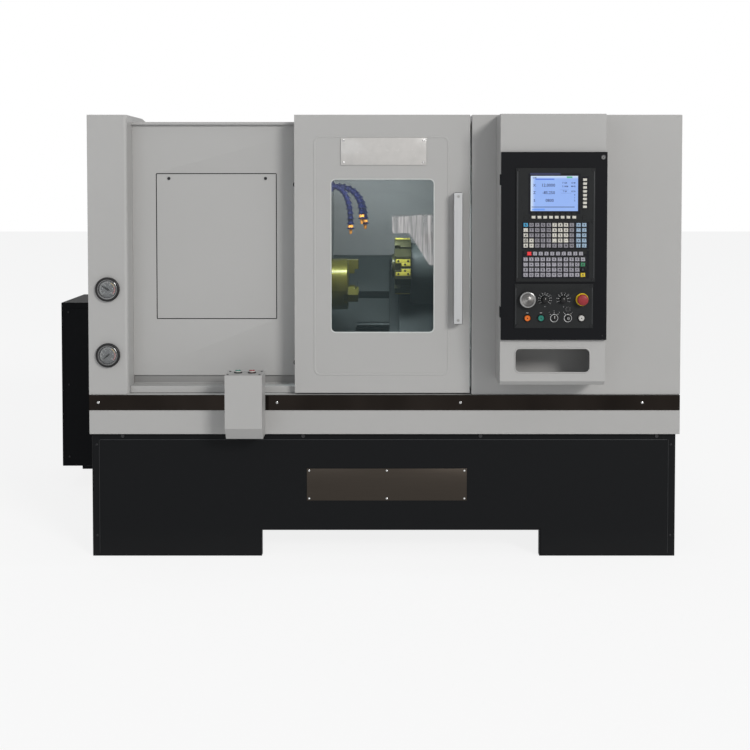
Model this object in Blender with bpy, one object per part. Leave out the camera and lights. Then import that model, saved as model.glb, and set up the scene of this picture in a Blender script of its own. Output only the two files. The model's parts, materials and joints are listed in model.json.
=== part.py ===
"""A turning lathe with a slanted bed inside a full sheet-metal enclosure.

X runs along the spindle, Y from the operator to the back, and Z up, all in metres. The pieces are laid out
from the outer face of the sliding door (Y = 0) and the middle of the enclosure (X = 0). One empty named
machine then moves everything, so that the origin is at the middle of the whole outline, on the floor.
"""

import math

import bmesh
import bpy
from mathutils import Matrix, Vector

# Fits and cutting
seat_gap = 0.0003
running_gap = 0.0005
overrun = 0.02
round_steps = 20
fine_steps = 32
corner_steps = 4

# Enclosure
body_width = 2.252
body_depth = 1.25
body_height = 1.691
column_width = 0.150
right_cover_width = 0.7955
cover_wall = 0.006
roof_flat_depth = 0.30
roof_fall = 0.117
roof_step = 0.023
roof_sheet = 0.006
header_height = 0.065
roof_lip = 0.015
jamb_depth = 0.10
panel_setback = 0.100
panel_thickness = 0.010
panel_bottom_rise = 0.0587
guard_sheet = 0.004

# Base and the frame above it
base_height = 0.477
base_left_inset = 0.0045
base_right_inset = 0.011
base_front_inset = 0.020
base_wall = 0.030
notch_left = 0.655
notch_right = 0.532
notch_height = 0.100
chip_slot_left = 0.30
chip_slot_right = 0.50
chip_slot_front = 0.10
chip_slot_depth = 0.175
apron_height = 0.091
apron_side_inset = 0.002
apron_proud = 0.008
apron_wall = 0.050
strip_height = 0.059
strip_thickness = 0.0027
strip_setback = 0.003

# Coolant tank
tank_width = 0.95
tank_depth = 0.55
tank_floor_height = 0.120
tank_wall = 0.006
tank_shift = 0.075

# Sliding door and its rails
door_width = 0.6655
door_thickness = 0.040
door_skin = 0.004
door_border = 0.020
door_bottom_gap = 0.0067
door_side_gap = 0.007
window_width = 0.391
window_height = 0.582
window_left_margin = 0.1385
window_bottom_margin = 0.231
window_radius = 0.018
pane_overlap = 0.016
pane_thickness = 0.010
handle_length = 0.496
handle_width = 0.034
handle_reach = 0.045
handle_bar = 0.022
handle_foot = 0.030
handle_right_margin = 0.0295
handle_bottom_margin = 0.267
rail_step_height = 0.0257
rail_back_rise = 0.086
rail_depth = 0.0897
rail_wall = 0.010
guide_height = 0.010
guide_depth = 0.0147
shoe_length = 0.060
shoe_inset = 0.040
shoe_height = 0.024
shoe_hook = 0.0084
roller_radius = 0.016
roller_width = 0.018
roller_inset = 0.080
roller_offset = 0.024
axle_radius = 0.006

# Panel in front of the headstock
access_width = 0.463
access_top_margin = 0.1839
access_left_margin = 0.093
access_bottom_margin = 0.2210
access_thickness = 0.0047
access_gap = 0.0015
access_lip = 0.012

# Pressure gauges
gauge_inset = 0.075
gauge_rises = {"upper": 0.4024, "lower": 0.1514}
gauge_rests = {"upper": 148.0, "lower": 222.0}
gauge_radius = 0.0455
gauge_proud = 0.012
gauge_face_radius = 0.036
gauge_face_depth = 0.006
gauge_body_radius = 0.032
gauge_body_depth = 0.040
pointer_length = 0.028
pointer_tail = 0.009
pointer_hub_radius = 0.004
pointer_thickness = 0.0012
pointer_tip = 0.0006
post_radius = 0.0015

# Control pod
pod_width = 0.3855
pod_left_margin = 0.092
pod_height = 0.994
pod_top_drop = 0.006
pod_depth = 0.165
pod_wall = 0.004
pod_chamfer = 0.015
pod_shelf_rise = 0.164
slot_width = 0.273
slot_height = 0.087
slot_radius = 0.018
slot_rise = 0.048
lid_height = 0.686
lid_bottom_rise = 0.169
lid_thickness = 0.0147
lid_skin = 0.003
lid_flange = 0.012
lid_inset = 0.002
lid_frame = 0.013
hinge_radius = 0.005
hinge_length = 0.040
hinge_places = (0.082, 0.565)
lock_radius = 0.007
lock_length = 0.024
lock_inset = 0.0155
lock_drop = 0.0200
lock_proud = 0.002
lock_tongue = 0.014
lock_tongue_width = 0.006

# Control unit on the pod's lid
unit_width = 0.288
unit_height = 0.4135
unit_left_margin = 0.0535
unit_bottom_margin = 0.214
bezel_thickness = 0.004
unit_case_inset = 0.014
unit_case_depth = 0.080
fit_gap = 0.0005
screen_width = 0.172
screen_height = 0.128
screen_left = 0.0525
screen_drop = 0.0285
screen_thickness = 0.0025
key_height = 0.0022
key_sink = 0.001
key_width = 0.0150
key_depth = 0.0130
key_pitch_x = 0.0209
key_pitch_z = 0.0189
key_left = 0.0365
key_drop = 0.1820
key_rows = 5
key_columns = 9
block_gap = 0.0035
mode_rows = 4
mode_columns = 7
mode_block_drop = 0.3065
mode_strip_drop = 0.2855
mode_strip_keys = 10
mode_strip_left = 0.0480
side_key_count = 8
side_key_left = 0.2510
side_key_drop = 0.0480
side_key_pitch = 0.0140
side_key_size = 0.0085
soft_key_count = 8
soft_key_left = 0.0630
soft_key_drop = 0.1660
soft_key_pitch = 0.0211
soft_key_size = 0.0100

# Operator's panel under it
console_width = 0.286
console_height = 0.162
console_left_margin = 0.0495
console_bottom_margin = 0.044
console_case_inset = 0.010
console_case_depth = 0.020
wheel_radius = 0.030
wheel_depth = 0.019
dial_radius = 0.0115
dial_depth = 0.018
stop_radius = 0.020
stop_depth = 0.016
stop_stand = 0.014
stop_stem_radius = 0.010
stop_travel = 0.005
cap_radius = 0.0105
cap_depth = 0.007
cap_travel = 0.0035
stem_radius = 0.005
stem_length = 0.012
knob_edge_share = 0.167
stop_crown_share = 0.25
lever_width = 0.006
lever_rise = 0.006
console_columns = (0.046, 0.0955, 0.144, 0.194, 0.243)
console_low_row = 0.037
console_high_row = 0.105
dial_places = (0.110, 0.177)
wheel_place = 0.046
stop_place = 0.245

# Button box in front of the door
box_width = 0.138
box_depth = 0.1237
box_rise = 0.001
box_height = 0.2437
box_centre_inset = 0.603
box_chamfer_height = 0.045
box_chamfer_depth = 0.037
box_wall = 0.004
box_button_spacing = 0.052
box_button_radius = 0.011
box_button_proud = 0.011
box_button_sink = 0.012
box_button_travel = 0.004
box_button_edge_share = 0.2

# Spindle line
spindle_back = 0.400
spindle_height = 1.016
spindle_radius = 0.070
spindle_bore_radius = 0.026
nose_radius = 0.085
nose_length = 0.050
headstock_front = 0.826
headstock_length = 0.520
headstock_half = 0.170
headstock_chamfer = 0.040
pulley_width = 0.100
pulley_gap = 0.010
spindle_pulley_radius = 0.090
spindle_tail = 0.020
chuck_radius = 0.105
chuck_length = 0.100
chuck_edge = 0.003
chuck_bore_radius = 0.028
jaw_width = 0.036
jaw_inner = 0.045
jaw_outer = 0.102
jaw_proud = 0.042
jaw_root = 0.016
jaw_root_outer = 0.094
jaw_step = 0.016
jaw_step_reach = 0.017
jaw_slot_inner = 0.032
jaw_count = 3
motor_radius = 0.125
motor_length = 0.380
motor_sides = 8
motor_foot_inset = 0.048
motor_back = 1.000
motor_pulley_radius = 0.055
motor_shaft_radius = 0.019
belt_thickness = 0.006
belt_inset = 0.010

# Slanted bed and the slides on it
slope = math.radians(45)
bed_drop = 0.300
bed_left = 0.850
bed_right = 0.800
bed_reach = 0.420
bed_back = 1.120
bed_wall = 0.050
bed_floor = 0.056
bed_web = 0.040
bed_pockets = 4
rail_height = 0.050
rail_width = 0.060
rail_spacing = 0.400
rail_start = 0.120
z_screw_radius = 0.015
z_screw_rise = 0.025
saddle_left = 0.020
saddle_length = 0.400
saddle_low = 0.240
saddle_high = 0.300
saddle_thickness = 0.0597
nut_width = 0.080
nut_clear = 0.003
slide_inset = 0.040
slide_length = 0.300
slide_low = 0.160
slide_high = 0.120
slide_thickness = 0.0497
x_groove_width = 0.050
x_groove_depth = 0.045
x_screw_radius = 0.010
x_screw_drop = 0.0225
x_screw_start = 0.020
x_nut_length = 0.050
x_nut_width = 0.044
x_nut_depth = 0.042
servo_size = 0.130
servo_length = 0.170
x_servo_size = 0.090
x_servo_length = 0.140
turret_offset = 0.100
turret_house_half = 0.095
turret_house_length = 0.220
disc_across = 0.225
disc_thickness = 0.068
disc_left = 0.0415
disc_stations = 8
disc_slot_width = 0.008
disc_notch_width = 0.026
disc_notch_length = 0.024
disc_slot_depth = 0.020
disc_hub_radius = 0.050
disc_hub_proud = 0.010

# Coolant supply over the chuck
wall_setback = 0.1013
wall_hole_radius = 0.114
wall_clear = 0.012
wall_top_drop = 0.095
guard_back = 0.980
manifold_width = 0.024
manifold_depth = 0.090
manifold_height = 0.040
manifold_front = 0.300
manifold_rise = 0.403
hose_radius = 0.0085
hose_sides = 8
nozzle_length = 0.034
nozzle_tip_radius = 0.003
hose_steps = 9
hose_reach = 0.1155
hose_drop = 0.1848
hose_shares = ((0.62, 1.00, 0.15), (1.00, 0.78, 0.50), (1.12, 0.90, 0.85))

# Power unit at the left and the cabinet at the back
unit_box_width = 0.389
unit_box_depth = 0.420
unit_box_overlap = 0.200
unit_box_bottom = 0.102
unit_box_height = 0.771
unit_box_wall = 0.004
unit_foot = 0.050
unit_foot_inset = 0.030
cabinet_width = 0.700
cabinet_height = 1.000
cabinet_depth = 0.200
cabinet_bottom = 0.533
cabinet_right_inset = 0.060
cabinet_wall = 0.006
cabinet_door_thickness = 0.018
cabinet_door_skin = 0.003
cabinet_door_flange = 0.015
cabinet_back_plate = 0.004

# Places that follow from the sizes above
body_left = -body_width / 2
body_right = body_width / 2
column_right = body_left + column_width
cover_left = body_right - right_cover_width
apron_bottom = base_height + seat_gap
strip_bottom = apron_bottom + apron_height
apron_top = strip_bottom + strip_height
cover_bottom = apron_top + seat_gap
roof_height = body_height - roof_step
inner_top = roof_height - roof_fall - header_height
door_right = cover_left - door_side_gap
door_left = door_right - door_width
door_bottom = cover_bottom + door_bottom_gap
rail_front = door_thickness + running_gap
rail_top = cover_bottom + rail_step_height
chamber_left = door_left + door_side_gap + wall_setback
headstock_right = body_left + headstock_front
headstock_left = headstock_right - headstock_length
chuck_back = headstock_right + nose_length
chuck_face = chuck_back + chuck_length
pulley_right = headstock_left - pulley_gap
pulley_left = pulley_right - pulley_width
bed_top = spindle_height + bed_reach * math.sin(slope) - bed_drop * math.cos(slope)
motor_height = bed_top + seat_gap + motor_radius
motor_left = pulley_right + motor_shaft_radius + pulley_gap
pod_left = cover_left + pod_left_margin
pod_right = pod_left + pod_width
pod_top = body_height - pod_top_drop
pod_bottom = pod_top - pod_height
lid_back = -pod_depth - seat_gap
lid_front = lid_back - lid_thickness
lid_bottom = pod_bottom + lid_bottom_rise
lid_left = pod_left + lid_inset
lid_right = pod_right + lid_inset
bezel_back = lid_front - seat_gap
bezel_front = bezel_back - bezel_thickness
unit_left = lid_left + unit_left_margin
unit_top = lid_bottom + unit_bottom_margin + unit_height
console_left = lid_left + console_left_margin
console_bottom = lid_bottom + console_bottom_margin
box_back = -apron_proud - seat_gap
box_front = box_back - box_depth
box_centre = body_left + box_centre_inset
box_bottom = apron_bottom + box_rise
box_top = box_bottom + box_height
box_left = box_centre - box_width / 2
box_middle_back = box_back - box_depth / 2
rail_low = -bed_drop
rail_high = rail_low + rail_height
saddle_bottom = rail_high + seat_gap
saddle_top = saddle_bottom + saddle_thickness
slide_bottom = saddle_top + seat_gap
slide_top = slide_bottom + slide_thickness
z_screw_line = rail_low + z_screw_rise
x_screw_line = saddle_top - x_screw_drop
x_screw_across = saddle_left + saddle_length / 2
slide_left = saddle_left + slide_inset
disc_right = disc_left + disc_thickness
cabinet_right = body_right - cabinet_right_inset
cabinet_left = cabinet_right - cabinet_width
cabinet_front = body_depth + seat_gap
cabinet_back = cabinet_front + cabinet_depth
cabinet_door_back = cabinet_back + seat_gap + cabinet_door_thickness
unit_box_right = body_left - seat_gap
unit_box_left = unit_box_right - unit_box_width
unit_box_front = body_depth - unit_box_overlap
unit_box_back = unit_box_front + unit_box_depth
gauge_centre = body_left + gauge_inset
gauge_heights = {level: cover_bottom + rise for level, rise in gauge_rises.items()}
wheel_front = bezel_front - seat_gap - wheel_depth
stop_front = bezel_front - stop_stand - stop_depth
machine_shift = Vector((
    -(unit_box_left + body_right) / 2,
    -(min(wheel_front, stop_front) + max(cabinet_door_back, unit_box_back)) / 2,
    0,
))

FINISHES = {
    "white_paint": ((0.45, 0.44, 0.42), 0.45, 0.0),
    "black_paint": ((0.013, 0.015, 0.017), 0.40, 0.0),
    "dark_mirror": ((0.035, 0.026, 0.020), 0.12, 1.0),
    "cast_paint": ((0.10, 0.12, 0.12), 0.55, 0.0),
    "oiled_steel": ((0.28, 0.25, 0.08), 0.30, 1.0),
    "steel": ((0.52, 0.52, 0.50), 0.28, 1.0),
    "aluminium": ((0.70, 0.71, 0.72), 0.35, 1.0),
    "bezel_plastic": ((0.028, 0.030, 0.032), 0.50, 0.0),
    "window_pane": ((0.16, 0.22, 0.23), 0.08, 0.0),
    "screen_glass": ((0.22, 0.40, 0.85), 0.15, 0.0),
    "gauge_face": ((0.30, 0.31, 0.31), 0.40, 0.0),
    "black_rubber": ((0.02, 0.02, 0.02), 0.80, 0.0),
    "hose_blue": ((0.02, 0.03, 0.18), 0.50, 0.0),
    "red_plastic": ((0.42, 0.02, 0.02), 0.35, 0.0),
    "green_plastic": ((0.01, 0.22, 0.12), 0.35, 0.0),
    "orange_plastic": ((0.75, 0.15, 0.02), 0.35, 0.0),
    "white_plastic": ((0.75, 0.75, 0.72), 0.35, 0.0),
    "black_plastic": ((0.02, 0.02, 0.02), 0.40, 0.0),
}


# Blank scene and the empties that carry the moving bodies

def clear_scene():
    for obj in list(bpy.data.objects):
        bpy.data.objects.remove(obj, do_unlink=True)


def finish(name):
    material = bpy.data.materials.get(name)
    if material is None:
        colour, roughness, metallic = FINISHES[name]
        material = bpy.data.materials.new(name)
        material.use_nodes = True
        shader = material.node_tree.nodes["Principled BSDF"]
        shader.inputs["Base Color"].default_value = (*colour, 1.0)
        shader.inputs["Roughness"].default_value = roughness
        shader.inputs["Metallic"].default_value = metallic
        material.diffuse_color = (*colour, 1.0)
    return material


def carrier(name, place, parent):
    """An empty on a joint's axis, which carries every piece of one moving body."""
    empty = bpy.data.objects.new(name, None)
    bpy.context.scene.collection.objects.link(empty)
    empty.parent = parent
    empty.location = Vector(place) - parent_place(parent)
    empty["place"] = tuple(place)
    return empty


def parent_place(parent):
    return Vector(parent["place"]) if parent is not None and "place" in parent else Vector((0, 0, 0))


# Shapes, each a bmesh in the machine's coordinates

def block(low, high):
    shape = bmesh.new()
    size = [high[i] - low[i] for i in range(3)]
    middle = [(high[i] + low[i]) / 2 for i in range(3)]
    bmesh.ops.create_cube(shape, size=1, matrix=Matrix.Translation(middle) @ Matrix.Diagonal((*size, 1)))
    return shape


def place_in(axis, a, b, along):
    """The point whose cross-section place is (a, b), at this distance along the axis."""
    return {"X": (along, a, b), "Y": (a, along, b), "Z": (a, b, along)}[axis]


def prism(outline, axis, low, high):
    """An outline of (a, b) points, extruded along an axis."""
    shape = bmesh.new()
    ends = []
    for along in (low, high):
        ends.append([shape.verts.new(place_in(axis, a, b, along)) for a, b in outline])
    count = len(outline)
    shape.faces.new(ends[0])
    shape.faces.new(ends[1])
    for i in range(count):
        j = (i + 1) % count
        shape.faces.new((ends[0][i], ends[0][j], ends[1][j], ends[1][i]))
    bmesh.ops.recalc_face_normals(shape, faces=shape.faces)
    return shape


def turned(profile, axis, centre, steps=round_steps):
    """A closed profile of (along, radius) points, turned about a line through centre."""
    shape = bmesh.new()
    rings = []
    for along, radius in profile:
        if radius == 0:
            rings.append([shape.verts.new(place_in(axis, *centre, along))])
            continue
        ring = []
        for k in range(steps):
            angle = math.tau * k / steps
            a = centre[0] + radius * math.cos(angle)
            b = centre[1] + radius * math.sin(angle)
            ring.append(shape.verts.new(place_in(axis, a, b, along)))
        rings.append(ring)
    for first, second in zip(rings, rings[1:] + rings[:1]):
        join_rings(shape, first, second)
    bmesh.ops.recalc_face_normals(shape, faces=shape.faces)
    return shape


def join_rings(shape, first, second):
    if len(first) == 1 and len(second) == 1:
        return
    steps = max(len(first), len(second))
    for k in range(steps):
        n = (k + 1) % steps
        if len(first) == 1:
            shape.faces.new((first[0], second[k], second[n]))
        elif len(second) == 1:
            shape.faces.new((first[k], first[n], second[0]))
        else:
            shape.faces.new((first[k], first[n], second[n], second[k]))


def rod(radius, axis, centre, low, high, steps=round_steps):
    return turned([(low, 0), (low, radius), (high, radius), (high, 0)], axis, centre, steps)


def rounded(low, high, radius):
    """A rectangle's outline with round corners, between two opposite corners."""
    points = []
    corners = (
        (high[0] - radius, high[1] - radius),
        (low[0] + radius, high[1] - radius),
        (low[0] + radius, low[1] + radius),
        (high[0] - radius, low[1] + radius),
    )
    for quarter, (a, b) in enumerate(corners):
        for k in range(corner_steps + 1):
            angle = math.pi / 2 * (quarter + k / corner_steps)
            points.append((a + radius * math.cos(angle), b + radius * math.sin(angle)))
    return points


def arc(centre, radius, start, end, steps):
    points = []
    for k in range(steps + 1):
        angle = start + (end - start) * k / steps
        points.append((centre[0] + radius * math.cos(angle), centre[1] + radius * math.sin(angle)))
    return points


def swept(path, radii, sides):
    """A round tube along a path, with a radius for each point and closed ends."""
    shape = bmesh.new()
    rings = []
    side = Vector((0, 1, 0))
    for i, point in enumerate(path):
        ahead = path[min(i + 1, len(path) - 1)] - path[max(i - 1, 0)]
        ahead.normalize()
        side = (side - ahead * side.dot(ahead)).normalized()
        up = ahead.cross(side)
        ring = []
        for k in range(sides):
            angle = math.tau * k / sides
            ring.append(shape.verts.new(point + (side * math.cos(angle) + up * math.sin(angle)) * radii[i]))
        rings.append(ring)
    for first, second in zip(rings, rings[1:]):
        join_rings(shape, first, second)
    shape.faces.new(rings[0])
    shape.faces.new(rings[-1])
    bmesh.ops.recalc_face_normals(shape, faces=shape.faces)
    return shape


def merged(shapes):
    """Several shapes in one mesh, for cutting or adding together."""
    whole = bmesh.new()
    for shape in shapes:
        mesh = bpy.data.meshes.new("scrap")
        shape.to_mesh(mesh)
        whole.from_mesh(mesh)
        bpy.data.meshes.remove(mesh)
        shape.free()
    return whole


def on_slope(u, n):
    """The (Y, Z) place that lies u up the slope from the spindle line and n out from it."""
    back = spindle_back + u * math.cos(slope) - n * math.sin(slope)
    height = spindle_height + u * math.sin(slope) + n * math.cos(slope)
    return back, height


def slope_prism(outline, low, high):
    return prism([on_slope(u, n) for u, n in outline], "X", low, high)


def slope_block(low_x, high_x, low_u, high_u, low_n, high_n):
    outline = [(low_u, low_n), (high_u, low_n), (high_u, high_n), (low_u, high_n)]
    return slope_prism(outline, low_x, high_x)


# Objects

def add_object(name, shape, body, place):
    origin = Vector(place) if place is not None else parent_place(body)
    shape.transform(Matrix.Translation(-origin))
    mesh = bpy.data.meshes.new(name)
    shape.to_mesh(mesh)
    shape.free()
    obj = bpy.data.objects.new(name, mesh)
    bpy.context.scene.collection.objects.link(obj)
    obj.parent = body
    obj.location = origin - parent_place(body)
    return obj


def piece(name, shape, body, look, place=None):
    """One named sub-part, shaded smooth except over sharp edges."""
    obj = add_object(name, shape, body, place)
    obj.data.materials.append(finish(look))
    obj.data.shade_smooth()
    obj.data.set_sharp_from_angle(angle=math.radians(30))
    return obj


def combine(target, shape, operation):
    helper = add_object(f"{target.name}_helper", shape, target.parent, None)
    helper.hide_render = True
    helper.display_type = "WIRE"
    modifier = target.modifiers.new(operation.lower(), "BOOLEAN")
    modifier.operation = operation
    modifier.object = helper


def cut(target, shape):
    combine(target, shape, "DIFFERENCE")


def fuse(target, shape):
    combine(target, shape, "UNION")


# Base and the frame above it

def add_base(root):
    left = body_left + base_left_inset
    right = body_right - base_right_inset
    front = base_front_inset
    base = piece("base", block((left, front, 0), (right, body_depth, base_height)), root, "black_paint")
    low = (left + base_wall, front + base_wall, -overrun)
    high = (right - base_wall, body_depth - base_wall, base_height - base_wall)
    cut(base, block(low, high))
    cut(base, block(
        (body_left + notch_left, front - overrun, -overrun),
        (body_right - notch_right, body_depth + overrun, notch_height),
    ))
    cut(base, block(
        (-chip_slot_left, chip_slot_front, base_height - base_wall - overrun),
        (chip_slot_right, chip_slot_front + chip_slot_depth, base_height + overrun),
    ))


def add_tank(root):
    top = base_height - base_wall - seat_gap
    front = base_front_inset + base_wall + seat_gap
    left = tank_shift - tank_width / 2
    right = tank_shift + tank_width / 2
    tank = piece("coolant_tank", block((left, front, tank_floor_height), (right, front + tank_depth, top)),
                 root, "black_paint")
    cut(tank, block(
        (left + tank_wall, front + tank_wall, tank_floor_height + tank_wall),
        (right - tank_wall, front + tank_depth - tank_wall, top + overrun),
    ))


def add_apron(root):
    left = body_left + apron_side_inset
    right = body_right - apron_side_inset
    back = body_depth - seat_gap
    frame = piece("apron_frame", block((left, -apron_proud, apron_bottom), (right, back, apron_top)),
                  root, "white_paint")
    cut(frame, block(
        (left + apron_wall, apron_wall - apron_proud, apron_bottom - overrun),
        (right - apron_wall, back - apron_wall, apron_top + overrun),
    ))
    strip_front = strip_setback - apron_proud
    strip_back = strip_front + strip_thickness
    cut(frame, block(
        (left - overrun, -apron_proud - overrun, strip_bottom),
        (right + overrun, strip_back + seat_gap, apron_top + overrun),
    ))
    piece("trim_strip", block(
        (left, strip_front, strip_bottom + seat_gap),
        (right, strip_back, apron_top - seat_gap),
    ), root, "dark_mirror")


# Enclosure covers

def cover_outline(inset, bottom):
    """The side view of an end cover: flat at the front, then falling to the back."""
    return [
        (inset, bottom),
        (inset, body_height - inset),
        (roof_flat_depth, body_height - inset),
        (body_depth - inset, body_height - roof_fall - inset),
        (body_depth - inset, bottom),
    ]


def add_left_cover(root):
    cover = piece("left_end_cover", prism(cover_outline(0, cover_bottom), "X", body_left, column_right),
                  root, "white_paint")
    inner = cover_outline(cover_wall, cover_bottom - overrun)
    cut(cover, prism(inner, "X", body_left + cover_wall, column_right - cover_wall))
    cut(cover, block(
        (column_right - cover_wall - overrun, panel_setback + panel_thickness + rail_wall,
         cover_bottom + apron_wall),
        (column_right + overrun, body_depth - apron_wall, inner_top),
    ))
    for height in gauge_heights.values():
        hole = gauge_body_radius + seat_gap
        cut(cover, rod(hole, "Y", (gauge_centre, height), -overrun, cover_wall + overrun, fine_steps))


def add_right_cover(root):
    cover = piece("right_cover", prism(cover_outline(0, cover_bottom), "X", cover_left, body_right),
                  root, "white_paint")
    inner = cover_outline(cover_wall, cover_bottom - overrun)
    cut(cover, prism(inner, "X", cover_left + cover_wall, body_right - cover_wall))
    cut(cover, block(
        (cover_left - overrun, jamb_depth, cover_bottom - overrun),
        (cover_left + cover_wall + overrun, body_depth - apron_wall, inner_top),
    ))


def add_roof(root):
    front = panel_setback
    back = body_depth - seat_gap
    back_top = roof_height - roof_fall
    outline = [
        (front, roof_height - header_height),
        (front, roof_height),
        (back, back_top),
        (back, back_top - roof_lip),
        (back - roof_sheet, back_top - roof_lip),
        (back - roof_sheet, back_top - roof_sheet),
        (front + panel_thickness, roof_height - roof_sheet),
        (front + panel_thickness, roof_height - header_height),
    ]
    roof = piece("roof_cover", prism(outline, "X", column_right + seat_gap, cover_left - seat_gap),
                 root, "white_paint")
    cut(roof, block(
        (column_right - overrun, front - overrun, roof_height - header_height - overrun),
        (chamber_left + seat_gap, front + panel_thickness + seat_gap, roof_height - roof_lip),
    ))
    fuse(roof, block(
        (column_right + seat_gap, front - guide_depth, roof_height - guide_height),
        (cover_left - seat_gap, front + running_gap, roof_height),
    ))


def add_rear_cover(root):
    top = roof_height - roof_fall - roof_lip - seat_gap
    piece("rear_cover", block(
        (column_right + seat_gap, body_depth - panel_thickness, cover_bottom),
        (cover_left - seat_gap, body_depth - seat_gap, top),
    ), root, "white_paint")


def add_headstock_cover(root):
    """The panel beside the door, which folds into the work chamber's left and back walls."""
    left = column_right + seat_gap
    front = panel_setback
    back = front + panel_thickness
    bottom = cover_bottom + panel_bottom_rise
    top = roof_height - roof_lip - seat_gap
    cover = piece("headstock_cover", block((left, front, bottom), (chamber_left, back, top)),
                  root, "white_paint")
    wall_top = roof_height - wall_top_drop
    wall_foot = wall_clear - bed_drop
    wall_bottom = cover_bottom + rail_back_rise + seat_gap
    slope_start = (wall_bottom - spindle_height - wall_foot * math.cos(slope)) / math.sin(slope)
    slope_end = (guard_back - seat_gap - spindle_back + wall_foot * math.sin(slope)) / math.cos(slope)
    outline = [
        (back - seat_gap, wall_bottom),
        on_slope(slope_start, wall_foot),
        on_slope(slope_end, wall_foot),
        (guard_back - seat_gap, wall_top - roof_fall / 2),
        (back - seat_gap, wall_top),
    ]
    fuse(cover, prism(outline, "X", chamber_left - guard_sheet, chamber_left))
    fuse(cover, block(
        (chamber_left - guard_sheet, guard_back - guard_sheet, bed_top + seat_gap),
        (body_right - cover_wall - seat_gap, guard_back, inner_top - seat_gap),
    ))
    cut(cover, rod(wall_hole_radius, "X", (spindle_back, spindle_height),
                   chamber_left - guard_sheet - overrun, chamber_left + overrun, fine_steps))
    low = (left + access_left_margin, bottom + access_bottom_margin)
    high = (low[0] + access_width, top - access_top_margin)
    panel_back = front + seat_gap + access_thickness
    cut(cover, block(
        (low[0] - access_gap, front - overrun, low[1] - access_gap),
        (high[0] + access_gap, panel_back + seat_gap, high[1] + access_gap),
    ))
    cut(cover, block(
        (low[0] + access_lip, front - overrun, low[1] + access_lip),
        (high[0] - access_lip, back + overrun, high[1] - access_lip),
    ))
    piece("access_panel", block(
        (low[0], front + seat_gap, low[1]), (high[0], panel_back, high[1]),
    ), root, "white_paint")


# Sliding door and its rail

def add_rail(root):
    left = column_right + seat_gap
    right = cover_left - seat_gap
    back = rail_front + rail_depth
    panel_back = panel_setback + panel_thickness + seat_gap
    lower = [
        (rail_front, cover_bottom),
        (rail_front, rail_top),
        (panel_back, rail_top),
        (panel_back, cover_bottom + rail_back_rise),
        (back, cover_bottom + rail_back_rise),
        (back, cover_bottom),
    ]
    piece("door_rail_bottom", prism(lower, "X", left, right), root, "white_paint")


def add_door(door):
    panel = piece("door_panel", block((door_left, 0, door_bottom), (door_right, door_thickness, body_height)),
                  door, "white_paint")
    cut(panel, block(
        (door_left + door_border, door_skin, door_bottom + door_border),
        (door_right - door_border, door_thickness + overrun, body_height - door_border),
    ))
    low = (door_left + window_left_margin, door_bottom + window_bottom_margin)
    high = (low[0] + window_width, low[1] + window_height)
    cut(panel, prism(rounded(low, high, window_radius), "Y", -overrun, door_skin + overrun))
    shoe_bottom = roof_height + shoe_hook - shoe_height
    guide_front = panel_setback - guide_depth
    shoe = [
        (door_thickness - running_gap, shoe_bottom),
        (guide_front - running_gap, shoe_bottom),
        (guide_front - running_gap, roof_height + running_gap),
        (guide_front + guide_depth - running_gap, roof_height + running_gap),
        (guide_front + guide_depth - running_gap, roof_height + shoe_hook),
        (door_thickness - running_gap, roof_height + shoe_hook),
    ]
    axle_height = rail_top + seat_gap + roller_radius
    roller_front = door_thickness + roller_offset
    for side in (-1, 1):
        edge = door_left if side < 0 else door_right
        shoe_centre = edge - side * (shoe_inset + shoe_length / 2)
        fuse(panel, prism(shoe, "X", shoe_centre - shoe_length / 2, shoe_centre + shoe_length / 2))
        place = edge - side * roller_inset
        bracket = block(
            (place - roller_radius, door_skin - running_gap, axle_height - axle_radius * 2),
            (place + roller_radius, roller_front - seat_gap, axle_height + axle_radius * 2),
        )
        fuse(panel, bracket)
        fuse(panel, rod(axle_radius, "Y", (place, axle_height), door_thickness, roller_front + roller_width))
        roller = turned([
            (roller_front, axle_radius + seat_gap), (roller_front, roller_radius),
            (roller_front + roller_width, roller_radius),
            (roller_front + roller_width, axle_radius + seat_gap),
        ], "Y", (place, axle_height))
        name = "door_roller_left" if side < 0 else "door_roller_right"
        body = carrier(f"{name}_axis", (place, roller_front, axle_height), door)
        piece(name, roller, body, "steel")
    pane_low = (low[0] - pane_overlap, low[1] - pane_overlap)
    pane_high = (high[0] + pane_overlap, high[1] + pane_overlap)
    piece("door_window", prism(rounded(pane_low, pane_high, window_radius), "Y", door_skin + seat_gap,
                               door_skin + seat_gap + pane_thickness), door, "window_pane")
    add_door_handle(door)


def add_door_handle(door):
    right = door_right - handle_right_margin
    left = right - handle_width
    bottom = door_bottom + handle_bottom_margin
    handle = piece("door_handle", block(
        (left, -handle_reach, bottom), (right, -seat_gap, bottom + handle_length),
    ), door, "aluminium")
    cut(handle, block(
        (left - overrun, handle_bar - handle_reach, bottom + handle_foot),
        (right + overrun, overrun, bottom + handle_length - handle_foot),
    ))


# Gauges on the left column

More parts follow.
